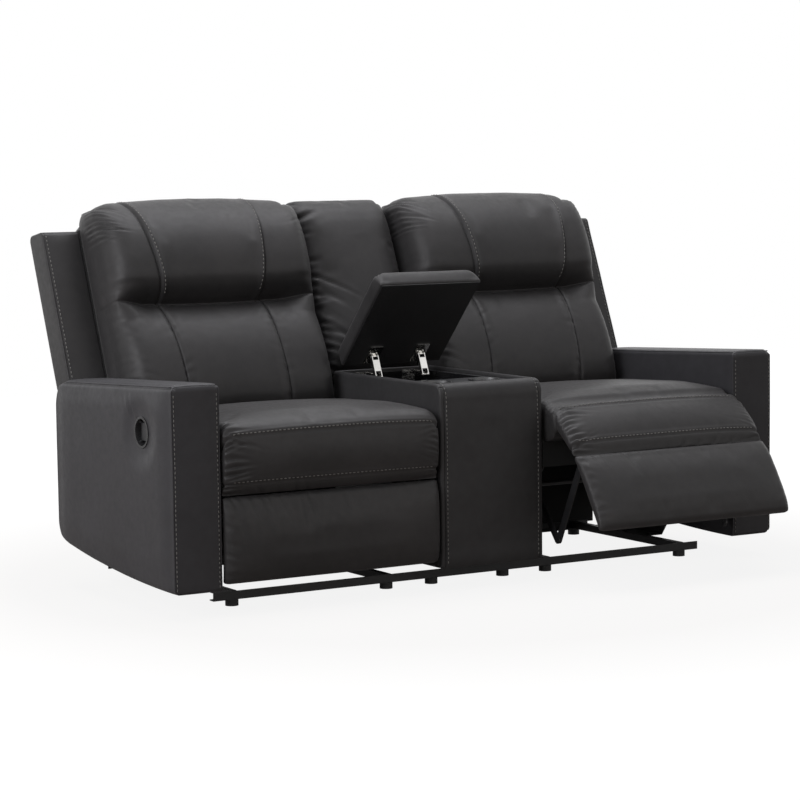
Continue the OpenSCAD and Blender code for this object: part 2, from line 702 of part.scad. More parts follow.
// Fixed middle back, behind the console, on two posts that stand on the rear stretcher
module centre_back_frame() {
    w = mid_w - 2;
    low = mid_low - 30;
    post_in = 2;
    color(timber) placed() {
        leaned() {
            translate([-w / 2, 0, low]) cube([w, ply, wing_top - low]);
            ribs(-w / 2, w / 2, low, wing_top, 3);
        }
        for (x = [post_in - w / 2, post_in - rib_w / 2, post_in + w / 2 - rib_w])
            side_plate(x, rib_w - 2 * post_in) polygon([
            [stretcher_y - 24, stretcher_z + stretcher_h + 0.2],
            [stretcher_y + stretcher_t, stretcher_z + stretcher_h + 0.2],
            leaned_at(ply + rib_depth - 1, low + 2), leaned_at(ply + 1, low + 2)]);
    }
}
module centre_back_cushion() {
    w = mid_w;
    y = wing_t - rear_pad;
    top = back_l - 14;
    color(leather) placed() leaned() {
        cushion([-w / 2, -mid_cushion_t, mid_low], [w / 2, -0.5, back_l - 6], 30, 2, 4, 3,
            [w / 4, w / 2, w * 3 / 4], 10, 4, 0, 0, 3, 0, function(u, p) [0, 0]);
        side_plate(-w / 2, w) polygon(concat([[y, mid_low - 30], [wing_t, mid_low - 30]],
            arc([wing_t - 24, top - 24], 24, 0, 90, 5), [[0.3, top], [0.3, wing_top + 1], [y, wing_top + 1]]));
    }
}

// Base
module cross_rails() {
    color(steel_black) placed() for (y = [front_rail_y, rear_rail_y]) {
        edge = y == front_rail_y ? y : y + base_h - base_wall;
        translate([-rail_half, edge, glide_h]) cube([2 * rail_half, base_wall, base_h]);
        translate([-rail_half, y, glide_h]) cube([2 * rail_half, base_h, base_wall]);
    }
}
rail_w = 20;
plate_t = 3;
// Inner X of a seat's fixed mechanism plate: s is -1 beside the console, 1 beside the arm
function plate_x(s) = s < 0 ? seat_in + rail_t : seat_out - rail_t - plate_t;
// Middle of the bar that carries a plate, this far from the plate's outer face
bar_in = 60;
function bar_x(s) = s < 0 ? plate_x(-1) + bar_in : plate_x(1) + plate_t - bar_in;
// Distance of the glides below the console from the middle
console_glide_x = 113;
module glides() {
    color(plastic_black) placed() {
        for (x = [console_glide_x, bar_x(-1), bar_x(1)], s = [-1, 1])
            translate([s * x, front_rail_y + base_h / 2, 0]) cylinder(h = glide_h, d = glide_d);
        for (x = [bar_x(-1), bar_x(1)], s = [-1, 1])
            translate([s * x, rear_rail_y + base_h / 2, 0]) cylinder(h = glide_h, d = glide_d);
    }
}
// Fixed half of a seat mechanism: two bars across the cross rails, each with a foot and a tall
// plate, whose flange the seat slides on, and two tabs that bolt to the arm or the console
flange_y = 190;
flange_l = 240 + seat_slide;
tab_l = 40;
tab_z = 96;
module base_rails(side) {
    low = glide_h + base_wall;
    high = seat_frame_z - 0.3;
    y0 = front_rail_y + base_wall + 0.2;
    l = rear_rail_y + base_h - base_wall - y0 - 0.2;
    foot_y = flange_y + 100;
    foot_l = flange_l - 20;
    foot_w = bar_in + rail_w / 2;
    color(steel_black) on_side(side) for (s = [-1, 1]) {
        x = plate_x(s);
        reach = s < 0 ? x - console_side : arm_in - x - plate_t;
        translate([bar_x(s) - rail_w / 2, y0, low]) cube([rail_w, l, rail_w]);
        translate([s < 0 ? x : x + plate_t - foot_w, foot_y, low + rail_w - plate_t])
            cube([foot_w, foot_l, plate_t]);
        side_plate(x, plate_t) polygon([[foot_y, low + rail_w - plate_t],
            [foot_y + foot_l, low + rail_w - plate_t], [flange_y + flange_l, high],
            [flange_y, high], [flange_y, 170]]);
        translate([s < 0 ? x - rail_t + plate_t : x, flange_y, high - plate_t])
            cube([rail_t, flange_l, plate_t]);
        for (y = [flange_y + 2 * tab_l, flange_y + flange_l - tab_l])
            translate([s < 0 ? x - reach : x + 1, y, tab_z]) cube([reach + plate_t - 1, tab_l, plate_t]);
    }
}
stretcher_y = arm_d - 30;
stretcher_z = 150;
stretcher_t = 20;
stretcher_h = 80;
module rear_stretcher() {
    color(leather_dark) placed()
        translate([-arm_in, stretcher_y, stretcher_z]) cube([2 * arm_in, stretcher_t, stretcher_h]);
}
// Thin panel wrapped in lining, on the front of the stretcher
module rear_panel() {
    low = rail_z - rear_panel_drop;
    color(leather_dark) placed() translate([-arm_in + 2, stretcher_y - rear_panel_t, low])
        cube([2 * arm_in - 4, rear_panel_t, stretcher_z + stretcher_h - low]);
}

// Seats
module seat_frame(side) {
    inner = seat_w - 2 * rail_t;
    bearer_h = 40;
    rear_lift = 24;
    color(timber) on_side(side) difference() {
        union() {
            for (x = [seat_in, seat_out - rail_t])
                translate([x, frame_y, seat_frame_z]) cube([rail_t, hinge_y + rail_w + 4 - frame_y, rail_h]);
            for (i = [1, 2])
                translate([seat_in + rail_t + inner * i / 3 - rail_t / 2, frame_y + 2, frame_top - bearer_h])
                    cube([rail_t, frame_rear - frame_y - 4, bearer_h]);
            translate([seat_in + 2, frame_y, seat_frame_z]) cube([seat_w - 4, rail_t, rail_h]);
            translate([seat_in + 2, frame_rear - rail_t, seat_frame_z + rear_lift])
                cube([seat_w - 4, rail_t, rail_h - rear_lift]);
        }
        x_rod(seat_in - 1, hinge_y, hinge_z, seat_w + 2, pin_d + 2 * pin_fit);
    }
}
// Steel lugs on the inside of the side timbers, which carry the footrest's links
module link_lugs(side) {
    h = 40;
    color(steel_black) on_side(side) for (s = [-1, 1])
        side_plate(s < 0 ? seat_in + rail_t : seat_out - rail_t - link_t, link_t) difference() {
            polygon(concat(arc([link_pivot_y, link_pivot_z], pivot_r, 170, 350, 8),
                [[link_pivot_y + h * 1.5, seat_frame_z], [link_pivot_y + h * 1.5, seat_frame_z + h],
                    [frame_y + rail_t, seat_frame_z + h], [frame_y + rail_t, seat_frame_z + 4]]));
            translate([link_pivot_y, link_pivot_z]) circle(d = pin_d + 2 * pin_fit);
        }
}
module seat_webbing(side) {
    n = 6;
    color(webbing_tan) on_side(side) for (i = [0:n - 1])
        translate([seat_in + 4, frame_y + 30 + (frame_rear - frame_y - 60 - web_w) * i / (n - 1), frame_top])
            cube([seat_w - 8, web_w, web_t]);
}
// The seat cushion overhangs the front roll with a nose and is cut back below it
module seat_cushion(side) {
    l = seat_w;
    r = 12;
    crown = 14;
    nose_y = -9;
    back_y = frame_y + soft_gap;
    low = deck_z + 0.3;
    top = seat_top - crown;
    under = knee_z + knee_gap;
    mids = [l * 0.12, l * 0.3, l / 2, l * 0.7, l * 0.88];
    color(leather) on_side(side) loft([for (u = stations(l, r, 3, mids))
        let(i = end_draw(u, l, r), v = 2 * u / l - 1, fall = 1 - v * v, n = 10,
            side_in = abs(v) > 0.96 ? 3 : 0)
        [for (p = concat(
            [for (j = [0:6]) [back_y + i + (seat_d - back_y - 2 * i) * j / 6, low + i]],
            [for (j = [1:3]) [seat_d - i, low + i + (top - low - 30 - 2 * i) * j / 3]],
            [[seat_d - 8 - i, top - 10 - i]],
            [for (j = [0:n]) let(w = j / n, y = seat_d - 24 - (seat_d - 28 - nose_y) * w)
                [y, top - i + crown * fall * (0.25 + 0.75 * sqrt(max(0, 1 - pow(2 * w - 1, 4))))]],
            [[nose_y + 4 + i * 0.7, top - 4 - i], [nose_y + i * 0.7, top - 8 - i * 0.3 - 0.2],
                [nose_y + 2 + i * 0.7, under + 0.2], [back_y + i, under]]))
            [seat_in + u + (v < 0 ? side_in : -side_in) * (p[1] < top - 12 ? 1 : 0), p[0], p[1]]]]);
}
// The front roll and the footrest hang from the knee hinge
module knee_turn(side, a) {
    on_side(side) translate([0, knee_y, knee_z]) rotate([-a, 0, 0]) translate([0, -knee_y, -knee_z])
        children();
}
module foot_turn(side, a) {
    c = crease(a);
    on_side(side) translate([0, c[0], c[1]]) rotate([-a * foot_share, 0, 0])
        translate([0, -crease_y, -crease_z]) children();
}
function opening(side) = side < 0 ? knee_angle_left : knee_angle_right;
module front_roll(side) {
    l = seat_w;
    color(leather) knee_turn(side, opening(side))
        cushion([seat_in, roll_front, crease_z + crease_gap],
            [seat_out, roll_front + roll_t, knee_z - knee_gap], crease_y - roll_front, 2, 2, 5,
            [l * 0.12, l * 0.3, l / 2, l * 0.7, l * 0.88], 6, 0, 0, 0, 3, 0,
            function(u, p) [p[0] < -0.9 ? 4 * (dip(p[1], 0.8, 0.15) + dip(p[1], -0.7, 0.15)) : 0,
                p[1] < -0.6 ? 1.1 * max(0, roll_front + roll_t * (p[0] + 1) / 2 - crease_y) : 0]);
}
module footrest_pad(side) {
    color(leather) foot_turn(side, opening(side))
        cushion([seat_in, foot_front, crease_z - foot_h],
            [seat_out, foot_front + foot_pad_t, crease_z - crease_gap], crease_y - foot_front, 2, 1, 3,
            [seat_w * 0.15, seat_w / 2, seat_w * 0.85], 6, 0, 0, 0, 3, 0, function(u, p) [0, 0]);
}
module footrest_board(side) {
    color(timber) foot_turn(side, opening(side))
        translate([seat_in + foot_margin, foot_board_y, crease_z - foot_h + foot_margin])
            cube([seat_w - 2 * foot_margin, foot_board_t, foot_h - 2 * foot_margin]);
}
// Where the links lie across the seat: rear link, front link and bracket side by side
function lane(s, i) = s < 0
    ? seat_in + rail_t + (i + 1) * (link_t + link_space)
    : seat_out - rail_t - link_t - (i + 1) * (link_t + link_space);
module footrest_brackets(side) {
    y0 = foot_board_y + foot_board_t;
    flange_h = 120;
    eye = crease_y + bracket_y + bracket_r;
    color(steel_black) foot_turn(side, opening(side)) for (s = [-1, 1]) {
        x = lane(s, 2);
        side_plate(x, link_t) polygon([[y0, crease_z - flange_h], [eye, crease_z + bracket_z - bracket_r],
            [eye, crease_z - 6], [y0, crease_z - 6]]);
        translate([x - 10, y0, crease_z - flange_h - foot_margin - 18]) cube([24, 3, flange_h]);
        x_rod(s < 0 ? x - link_t - 1.5 : x, crease_y + bracket_y, crease_z + bracket_z,
            2 * link_t + 1.5, pin_d);
    }
}
module rear_links(side) {
    a = opening(side);
    p = [link_pivot_y, link_pivot_z];
    q = link_joint(a);
    color(steel_black) on_side(side) {
        for (s = [-1, 1]) {
            x = lane(s, 0);
            flat_link(p, q, x, link_t, link_w, 0, 0);
            x_rod(s < 0 ? x - link_t - 2 : x, p[0], p[1], 2 * link_t + 2, pin_d);
            x_rod(s < 0 ? x : x - link_t - 2, q[0], q[1], 2 * link_t + 2, pin_d);
        }
        x_rod(lane(-1, 0) + link_t + 0.2, p[0], p[1], lane(1, 0) - lane(-1, 0) - link_t - 0.4, tube_d);
    }
}
module front_links(side) {
    a = opening(side);
    color(steel_black) on_side(side) for (s = [-1, 1])
        flat_link(link_joint(a), bracket_pivot(a), lane(s, 1), link_t, link_w,
            pin_d + 2 * pin_fit, pin_d + 2 * loose_fit);
}

arm_frame(-1);  // arm_frame_left
arm_frame(1);  // arm_frame_right
arm_cover(-1);  // arm_cover_left
arm_cover(1);  // arm_cover_right
latch_bezel(-1);  // latch_bezel_left
latch_bezel(1);  // latch_bezel_right
latch_paddle(-1);  // latch_paddle_left
latch_paddle(1);  // latch_paddle_right
release_cables();
console_frame();
console_cover();
console_tray();
storage_bin();
cup_rings();
cup_holders();
lid_board();
lid_pad();
hinge_bases();
hinge_rear_links();
hinge_front_links();
hinge_plates();
centre_back_frame();
centre_back_cushion();
cross_rails();
glides();
rear_stretcher();
rear_panel();
base_rails(-1);  // base_rails_left
base_rails(1);  // base_rails_right
seat_frame(-1);  // seat_frame_left
seat_frame(1);  // seat_frame_right
link_lugs(-1);  // link_lugs_left
link_lugs(1);  // link_lugs_right
seat_webbing(-1);  // seat_webbing_left
seat_webbing(1);  // seat_webbing_right
seat_cushion(-1);  // seat_cushion_left
seat_cushion(1);  // seat_cushion_right
front_roll(-1);  // front_roll_left
front_roll(1);  // front_roll_right
footrest_board(-1);  // footrest_board_left
footrest_board(1);  // footrest_board_right
footrest_pad(-1);  // footrest_pad_left
footrest_pad(1);  // footrest_pad_right
footrest_brackets(-1);  // footrest_brackets_left
footrest_brackets(1);  // footrest_brackets_right
rear_links(-1);  // rear_links_left
rear_links(1);  // rear_links_right
front_links(-1);  // front_links_left
front_links(1);  // front_links_right
back_frame(-1);  // back_frame_left
back_frame(1);  // back_frame_right
back_cushion(-1);  // back_cushion_left
back_cushion(1);  // back_cushion_right
headrest(-1);  // headrest_left
headrest(1);  // headrest_right
wing(-1);  // wing_left
wing(1);  // wing_right
rear_cover(-1);  // rear_cover_left
rear_cover(1);  // rear_cover_right
back_brackets(-1);  // back_brackets_left
back_brackets(1);  // back_brackets_right
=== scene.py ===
import json
import math

import bpy
import numpy as np
from mathutils import Matrix, Vector
from mathutils.bvhtree import BVHTree

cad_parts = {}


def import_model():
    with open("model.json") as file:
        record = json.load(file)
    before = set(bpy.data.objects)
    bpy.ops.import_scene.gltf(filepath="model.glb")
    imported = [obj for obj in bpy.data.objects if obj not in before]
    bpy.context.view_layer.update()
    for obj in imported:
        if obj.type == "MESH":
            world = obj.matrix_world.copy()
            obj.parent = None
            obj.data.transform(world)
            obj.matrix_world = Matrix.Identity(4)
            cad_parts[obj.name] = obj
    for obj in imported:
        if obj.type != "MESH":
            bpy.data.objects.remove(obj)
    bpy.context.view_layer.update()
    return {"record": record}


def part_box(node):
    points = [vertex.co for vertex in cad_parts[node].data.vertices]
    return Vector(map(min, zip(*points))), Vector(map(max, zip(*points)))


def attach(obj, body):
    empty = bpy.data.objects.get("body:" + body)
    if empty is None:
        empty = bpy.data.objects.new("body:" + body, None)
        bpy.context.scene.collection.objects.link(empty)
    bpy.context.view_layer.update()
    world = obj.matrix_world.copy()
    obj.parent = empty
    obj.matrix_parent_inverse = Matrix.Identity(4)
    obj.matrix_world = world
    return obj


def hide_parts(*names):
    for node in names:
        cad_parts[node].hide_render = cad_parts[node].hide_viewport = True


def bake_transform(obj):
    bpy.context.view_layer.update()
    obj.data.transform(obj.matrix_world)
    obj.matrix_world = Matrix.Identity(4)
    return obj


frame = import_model()

# Pieces are drawn in millimetres from the arms' front plane, the floor and the console's middle
MM = 0.001
# Coarse mesh step of the cushions, before each step is cut into three
STEP = 17.5
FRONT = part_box("arm_cover_left")[0].y
LEAN = math.radians(22)
HINGE = (602.0, 342.0)
KNEE = (-11.0, 477.0)
CREASE = (0.0, 296.0)
KNEE_OPEN = 48.9
FOOT_OPEN = 32.0
LID_AXIS = (547.0, 590.0)
LID_OPEN = 46.0
SEAT_IN, SEAT_OUT = 172.0, 787.0
ARM_IN, ARM_OUT = 800.0, 930.0
SIDES = (("left", -1), ("right", 1))


def world(p):
    """Points in metres in the model's frame"""
    q = np.array(p, float) * MM
    q[:, 1] += FRONT
    return q


def turned(p, centre, degrees):
    """Points turned about X as the footrests open"""
    a = np.radians(degrees)
    dy, dz = p[:, 1] - centre[0], p[:, 2] - centre[1]
    return cols(p[:, 0], centre[0] + dy * np.cos(a) + dz * np.sin(a),
                centre[1] - dy * np.sin(a) + dz * np.cos(a))


def leaned(p):
    """Points of a back, drawn upright about its hinge, where it rests"""
    x, y, z = np.array(p, float).T
    s, c = math.sin(LEAN), math.cos(LEAN)
    return cols(x, HINGE[0] + z * s + y * c, HINGE[1] + z * c - y * s)


def cols(*values):
    """Points from their coordinates, each an array or one number"""
    return np.stack(np.broadcast_arrays(*values), 1)


def unit(t):
    return np.clip(t, 0, 1)


def ease(t):
    t = unit(t)
    return t * t * (3 - 2 * t)


def bell(v, w):
    return np.exp(-(v / w) ** 2)


def bulge(t):
    """Swell between two seams at 0 and 1"""
    return np.sin(np.pi * unit(t))


def spline(knots, values, x):
    """A smooth curve through the values at the knots"""
    k, v = np.asarray(knots, float), np.asarray(values, float)
    d = np.diff(v) / np.diff(k)
    gap = np.diff(k)
    m = np.concatenate([d[:1], (d[:-1] * gap[1:] + d[1:] * gap[:-1]) / (gap[1:] + gap[:-1]), d[-1:]])
    x = np.clip(x, k[0], k[-1])
    i = np.clip(np.searchsorted(k, x, side="right") - 1, 0, len(k) - 2)
    h = k[i + 1] - k[i]
    t = (x - k[i]) / h
    return ((1 + 2 * t) * (1 - t) ** 2 * v[i] + t * (1 - t) ** 2 * h * m[i]
            + t * t * (3 - 2 * t) * v[i + 1] + t * t * (t - 1) * h * m[i + 1])


def noise(p, scale, seed):
    """Smooth noise between -1 and 1, over the given length"""
    q = p / scale + seed * 17.31
    i = np.floor(q).astype(np.int64)
    f = q - i
    f = f * f * (3 - 2 * f)
    out = np.zeros(len(p))
    for a in (0, 1):
        for b in (0, 1):
            for c in (0, 1):
                n = (i[:, 0] + a) * 73856093 ^ (i[:, 1] + b) * 19349663 ^ (i[:, 2] + c) * 83492791
                n = (n ^ (n >> 13)) * 1274126177 & 0x7FFFFFFF
                w = (f[:, 0] if a else 1 - f[:, 0]) * (f[:, 1] if b else 1 - f[:, 1]) \
                    * (f[:, 2] if c else 1 - f[:, 2])
                out += w * (n / 0x3FFFFFFF - 1)
    return out


def steps(length, step, low=(), high=()):
    """Distances along a length: given ones from each end, and even ones between"""
    low = [0.0, *low]
    high = [0.0, *high]
    a, b = low[-1], length - high[-1]
    n = max(1, round((b - a) / step))
    return np.array(low[:-1] + [a + (b - a) * i / n for i in range(n + 1)]
                    + [length - h for h in reversed(high[:-1])])


def split(s, n=3):
    """Each step of a row of distances cut into n"""
    fine = s[:-1, None] + np.diff(s)[:, None] * np.arange(n) / n
    return np.append(fine.ravel(), s[-1])


class Block:
    """The outside of a block, with points at the given distances along its three sides"""

    def __init__(self, *sides):
        self.sides = [np.asarray(s, float) for s in sides]
        shape = [len(s) for s in self.sides]
        at = np.indices(shape)
        self.out = np.zeros(shape, bool)
        for k in range(3):
            self.out |= (at[k] == 0) | (at[k] == shape[k] - 1)
        index = np.full(shape, -1)
        index[self.out] = np.arange(self.out.sum())
        self.points = np.stack([self.sides[k][at[k][self.out]] for k in range(3)], 1)
        quads = []
        for k in range(3):
            for end in (0, -1):
                g = np.take(index, end, axis=k)
                q = np.stack([g[:-1, :-1], g[1:, :-1], g[1:, 1:], g[:-1, 1:]], -1).reshape(-1, 4)
                quads.append(q[:, ::-1] if (end == 0) != (k == 1) else q)
        self.quads = np.concatenate(quads)

    def finer(self, n=3):
        return Block(*[split(s, n) for s in self.sides])


def between(g, axis, n):
    """A grid with n - 1 smooth points between each two along an axis"""
    g = np.moveaxis(g, axis, 0)
    p = np.concatenate([2 * g[:1] - g[1:2], g, 2 * g[-1:] - g[-2:-1]])
    a, b, c, d = p[:-3], p[1:-2], p[2:-1], p[3:]
    rows = [0.5 * (2 * b + (c - a) * t + (2 * a - 5 * b + 4 * c - d) * t * t
                   + (3 * b - a - 3 * c + d) * t ** 3) for t in np.arange(n) / n]
    rows = np.stack(rows, 1).reshape((-1,) + g.shape[1:])
    return np.moveaxis(np.concatenate([rows, g[-1:]]), 0, axis)


def spread(coarse, fine, move, n=3):
    """A coarse block's moves on the finer block, with smooth curves between its points"""
    grid = np.zeros(coarse.out.shape + (3,))
    grid[coarse.out] = move
    full = np.zeros(fine.out.shape + (3,))
    for k in range(3):
        for end in (0, -1):
            at = [slice(None)] * 3
            at[k] = end
            full[tuple(at)] = between(between(np.take(grid, end, axis=k), 0, n), 1, n)
    return full[fine.out]


def rounded(p, size, r):
    """Points of a block with its edges rounded; r and size may differ by point and side"""
    r = np.minimum(np.broadcast_to(r, p.shape), np.broadcast_to(size, p.shape) * 0.499)
    q = np.minimum(np.maximum(p, r), size - r)
    e = (p - q) / r
    n = np.linalg.norm(e, axis=1, keepdims=True)
    n[n == 0] = 1
    return q + e / n * r


def corner(u, v, cu, cv, su, sv, r):
    """One corner at (cu, cv) of a flat outline rounded to r; su and sv point out of it"""
    du, dv = (u - (cu - su * r)) * su, (v - (cv - sv * r)) * sv
    inside = (du > 0) & (dv > 0)
    du, dv = np.maximum(du, 0), np.maximum(dv, 0)
    n = np.hypot(du, dv)
    f = np.where(inside, np.maximum(du, dv) / np.where(n == 0, 1, n), 1)
    return (np.where(inside, cu - su * r + su * du * f, u), np.where(inside, cv - sv * r + sv * dv * f, v))


def folds(s, t, rows):
    """Valleys that start at an edge: each at s, with its width, depth, reach and lean"""
    out = np.zeros(len(s))
    for at, w, d, r, k in rows:
        c = s - at - k * t
        ridges = bell(c - 1.9 * w, 1.2 * w) + bell(c + 1.9 * w, 1.2 * w)
        out += d * bell(t, r) * (0.35 * ridges - bell(c, w))
    return out


def fold_rows(seed, start, stop, pitch, w, d, r, k=0.0):
    """Folds at uneven distances along an edge, each a little different"""
    g = np.random.default_rng(seed)
    n = max(1, int(abs(stop - start) / pitch))
    at = start + (stop - start) * (np.arange(n) + 0.5 + g.uniform(-0.3, 0.3, n)) / n
    return [(a, w * g.uniform(0.8, 1.3), d * g.uniform(0.45, 1.25), r * g.uniform(0.5, 1.4),
             k + g.uniform(-0.25, 0.25)) for a in at]


def gathered(s, t, *rows):
    """Folds at uneven distances s along an edge, as they reach t from it"""
    return folds(s, t, fold_rows(*rows))


def inflated(p, quads, pinned, pressure, slack, cap, frames=20):
    """The skin blown up by cloth simulation from its pinned points, none moved more than cap"""
    mesh = bpy.data.meshes.new("skin")
    mesh.from_pydata((p * MM).tolist(), [], quads.tolist())
    o = bpy.data.objects.new("skin", mesh)
    bpy.context.scene.collection.objects.link(o)
    group = o.vertex_groups.new(name="held")
    group.add(np.nonzero(pinned)[0].tolist(), 1.0, "REPLACE")
    m = o.modifiers.new("cloth", "CLOTH")
    s = m.settings
    s.quality = 4
    s.mass = 0.4
    s.tension_stiffness = 20
    s.compression_stiffness = 20
    s.shear_stiffness = 8
    s.bending_stiffness = 4
    s.use_pressure = True
    s.uniform_pressure_force = pressure
    s.vertex_group_mass = "held"
    s.shrink_min = -slack
    s.effector_weights.gravity = 0
    m.point_cache.frame_start = 1
    m.point_cache.frame_end = frames
    scene = bpy.context.scene
    for f in range(1, frames + 1):
        scene.frame_set(f)
    e = o.evaluated_get(bpy.context.evaluated_depsgraph_get())
    q = np.empty(len(p) * 3)
    e.data.vertices.foreach_get("co", q)
    q = q.reshape(-1, 3) / MM
    scene.frame_set(1)
    bpy.data.objects.remove(o)
    bpy.data.meshes.remove(mesh)
    move = q - p
    n = np.linalg.norm(move, axis=1, keepdims=True)
    return p + move * np.minimum(1, cap / np.maximum(n, 1e-6))


def puffed(coarse, shape, held, pressure, slack, cap):
    """A cushion's points and faces: its shape, blown up from a coarser copy held where it is sewn"""
    fine = coarse.finer()
    rest = shape(coarse.points)
    blown = inflated(rest, coarse.quads, held, pressure, slack, cap)
    return shape(fine.points) + spread(coarse, fine, blown - rest), fine.quads


def outward(p, quads):
    """The faces of a closed shell, wound so that they look out"""
    a, b, c, d = (p[quads[:, k]] for k in range(4))
    volume = (a * (np.cross(b, c) + np.cross(c, d))).sum()
    return quads if volume > 0 else quads[:, ::-1]


def solid(name, p, faces, material, smooth=True):
    """A piece from points in millimetres"""
    mesh = bpy.data.meshes.new(name)
    mesh.from_pydata(world(p).tolist(), [], [list(map(int, f)) for f in faces])
    mesh.polygons.foreach_set("use_smooth", [smooth] * len(mesh.polygons))
    mesh.materials.append(material)
    mesh.update()
    o = bpy.data.objects.new(name, mesh)
    bpy.context.scene.collection.objects.link(o)
    return o


def joined(*parts):
    """Points and faces of several shells as one"""
    points, faces, n = [], [], 0
    for p, f in parts:
        points.append(np.asarray(p))
        faces += [[int(i) + n for i in q] for q in f]
        n += len(p)
    return np.concatenate(points), faces


def along(path, pitch):
    """Points at even distances along a path, and the directions there"""
    path = np.asarray(path, float)
    d = np.linalg.norm(np.diff(path, axis=0), axis=1)
    s = np.concatenate([[0], np.cumsum(d)])
    n = max(2, int(s[-1] / pitch))
    at = (np.arange(n) + 0.5) * s[-1] / n
    p = np.stack([np.interp(at, s, path[:, k]) for k in range(3)], 1)
    q = np.stack([np.interp(at + 1, s, path[:, k]) - np.interp(at - 1, s, path[:, k]) for k in range(3)], 1)
    return p, q / np.maximum(np.linalg.norm(q, axis=1, keepdims=True), 1e-9)


def tree_of(o):
    return BVHTree.FromPolygons([v.co for v in o.data.vertices], [p.vertices for p in o.data.polygons])


def tube_faces(rings, sides):
    """Faces of a closed tube: its wall from ring to ring, and its two ends"""
    f = [[k * sides + j, k * sides + (j + 1) % sides, (k + 1) * sides + (j + 1) % sides, (k + 1) * sides + j]
         for k in range(rings - 1) for j in range(sides)]
    return f + [list(range(sides))[::-1], [(rings - 1) * sides + j for j in range(sides)]]


# A stitch's rings: place along it, width and height over the skin
STITCH = ((-0.5, 0.35, -0.5), (-0.36, 0.95, 0.25), (0, 1.0, 0.55), (0.36, 0.95, 0.25), (0.5, 0.35, -0.5))


def stitches(paths, tree, pitch=11.5, length=6.8, r=1.15, seed=1):
    """Shells of short threads that lie along the paths, in millimetres, on the skin"""
    g = np.random.default_rng(seed)
    parts = []
    ring = [(math.cos(k * math.pi / 3), math.sin(k * math.pi / 3)) for k in range(6)]
    for path in paths:
        points, ways = along(path, pitch)
        for p, way in zip(points, ways):
            near, normal, _, _ = tree.find_nearest(Vector(world([p])[0]))
            if near is None:
                continue
            base = np.array(near) / MM
            base[1] -= FRONT / MM
            n = np.array(normal)
            way = way - n * way.dot(n)
            way = way / max(np.linalg.norm(way), 1e-9) + 0.05 * g.uniform(-1, 1) * np.cross(n, way)
            side = np.cross(n, way)
            co = []
            for u, w, up in STITCH:
                for c, s in ring:
                    co.append(base + way * u * length + side * c * w * r + n * (s * w * r + up * r))
            parts.append((co, tube_faces(len(STITCH), len(ring))))
    return joined(*parts)


def tube(path, r, sides=8):
    """The shell of a round cord along a path, closed at both ends"""
    p = np.asarray(path, float)
    way = np.gradient(p, axis=0)
    way /= np.maximum(np.linalg.norm(way, axis=1, keepdims=True), 1e-9)
    up = np.cross(way[0], [0.3, 0.9, 0.2])
    rings = []
    for k in range(len(p)):
        up = up - way[k] * up.dot(way[k])
        up = up / max(np.linalg.norm(up), 1e-9)
        side = np.cross(way[k], up)
        for j in range(sides):
            a = 2 * math.pi * j / sides
            rings.append(p[k] + r * (math.cos(a) * up + math.sin(a) * side))
    return np.array(rings), tube_faces(len(p), sides)


# Materials


def put(t, socket, v):
    """Feeds a node's input with another node's output, a colour or a number"""
    if isinstance(v, bpy.types.NodeSocket):
        t.links.new(v, socket)
    else:
        socket.default_value = (*v, 1) if socket.type == "RGBA" else v


def wired(t, kind, inputs, **settings):
    """The outputs of a new node, with its inputs given by name or number"""
    n = t.nodes.new(kind)
    for k, v in settings.items():
        setattr(n, k, v)
    for k, v in inputs.items():
        put(t, n.inputs[k], v)
    return n.outputs


class Nodes:
    """A procedural material and the nodes that feed its shader"""

    def __init__(self, name):
        self.m = bpy.data.materials.new(name)
        self.m.use_nodes = True
        self.t = self.m.node_tree
        self.shader = self.t.nodes["Principled BSDF"]
        self.where = self.add("ShaderNodeTexCoord", {})["Object"]

    def add(self, kind, inputs, **settings):
        return wired(self.t, kind, inputs, **settings)

    def scaled(self, x, y, z):
        return self.add("ShaderNodeMapping", {"Vector": self.where, "Scale": (x, y, z)})[0]

    def noise(self, scale, detail=3.0, rough=0.5, at=None):
        inputs = {"Vector": at or self.where, "Scale": scale, "Detail": detail, "Roughness": rough}
        return self.add("ShaderNodeTexNoise", inputs)[0]

    def cells(self, scale):
        return self.add("ShaderNodeTexVoronoi", {"Vector": self.where, "Scale": scale})["Distance"]

    def wave(self, at, **settings):
        return self.add("ShaderNodeTexWave", {"Vector": at, "Scale": 180.0}, **settings)["Fac"]

    def ramp(self, fac, low, high, stops=(0.3, 0.7)):
        n = self.t.nodes.new("ShaderNodeValToRGB")
        for e, c, s in zip(n.color_ramp.elements, (low, high), stops):
            e.position = s
            e.color = (*c, 1) if isinstance(c, tuple) else (c, c, c, 1)
        put(self.t, n.inputs["Fac"], fac)
        return n.outputs["Color"]

    def mixed(self, fac, a, b):
        return self.add("ShaderNodeMix", {0: fac, 6: a, 7: b}, data_type="RGBA")[2]

    def sum(self, *pairs):
        """Heights added, each with its weight"""
        total = 0
        for height, weight in pairs:
            total = self.add("ShaderNodeMath", {0: height, 1: weight, 2: total}, operation="MULTIPLY_ADD")[0]
        return total

    def bump(self, height, strength, distance):
        inputs = {"Height": height, "Strength": strength, "Distance": distance}
        self.set(Normal=self.add("ShaderNodeBump", inputs)["Normal"])

    def set(self, **values):
        for k, v in values.items():
            put(self.t, self.shader.inputs[k.replace("_", " ")], v)
        return self.m


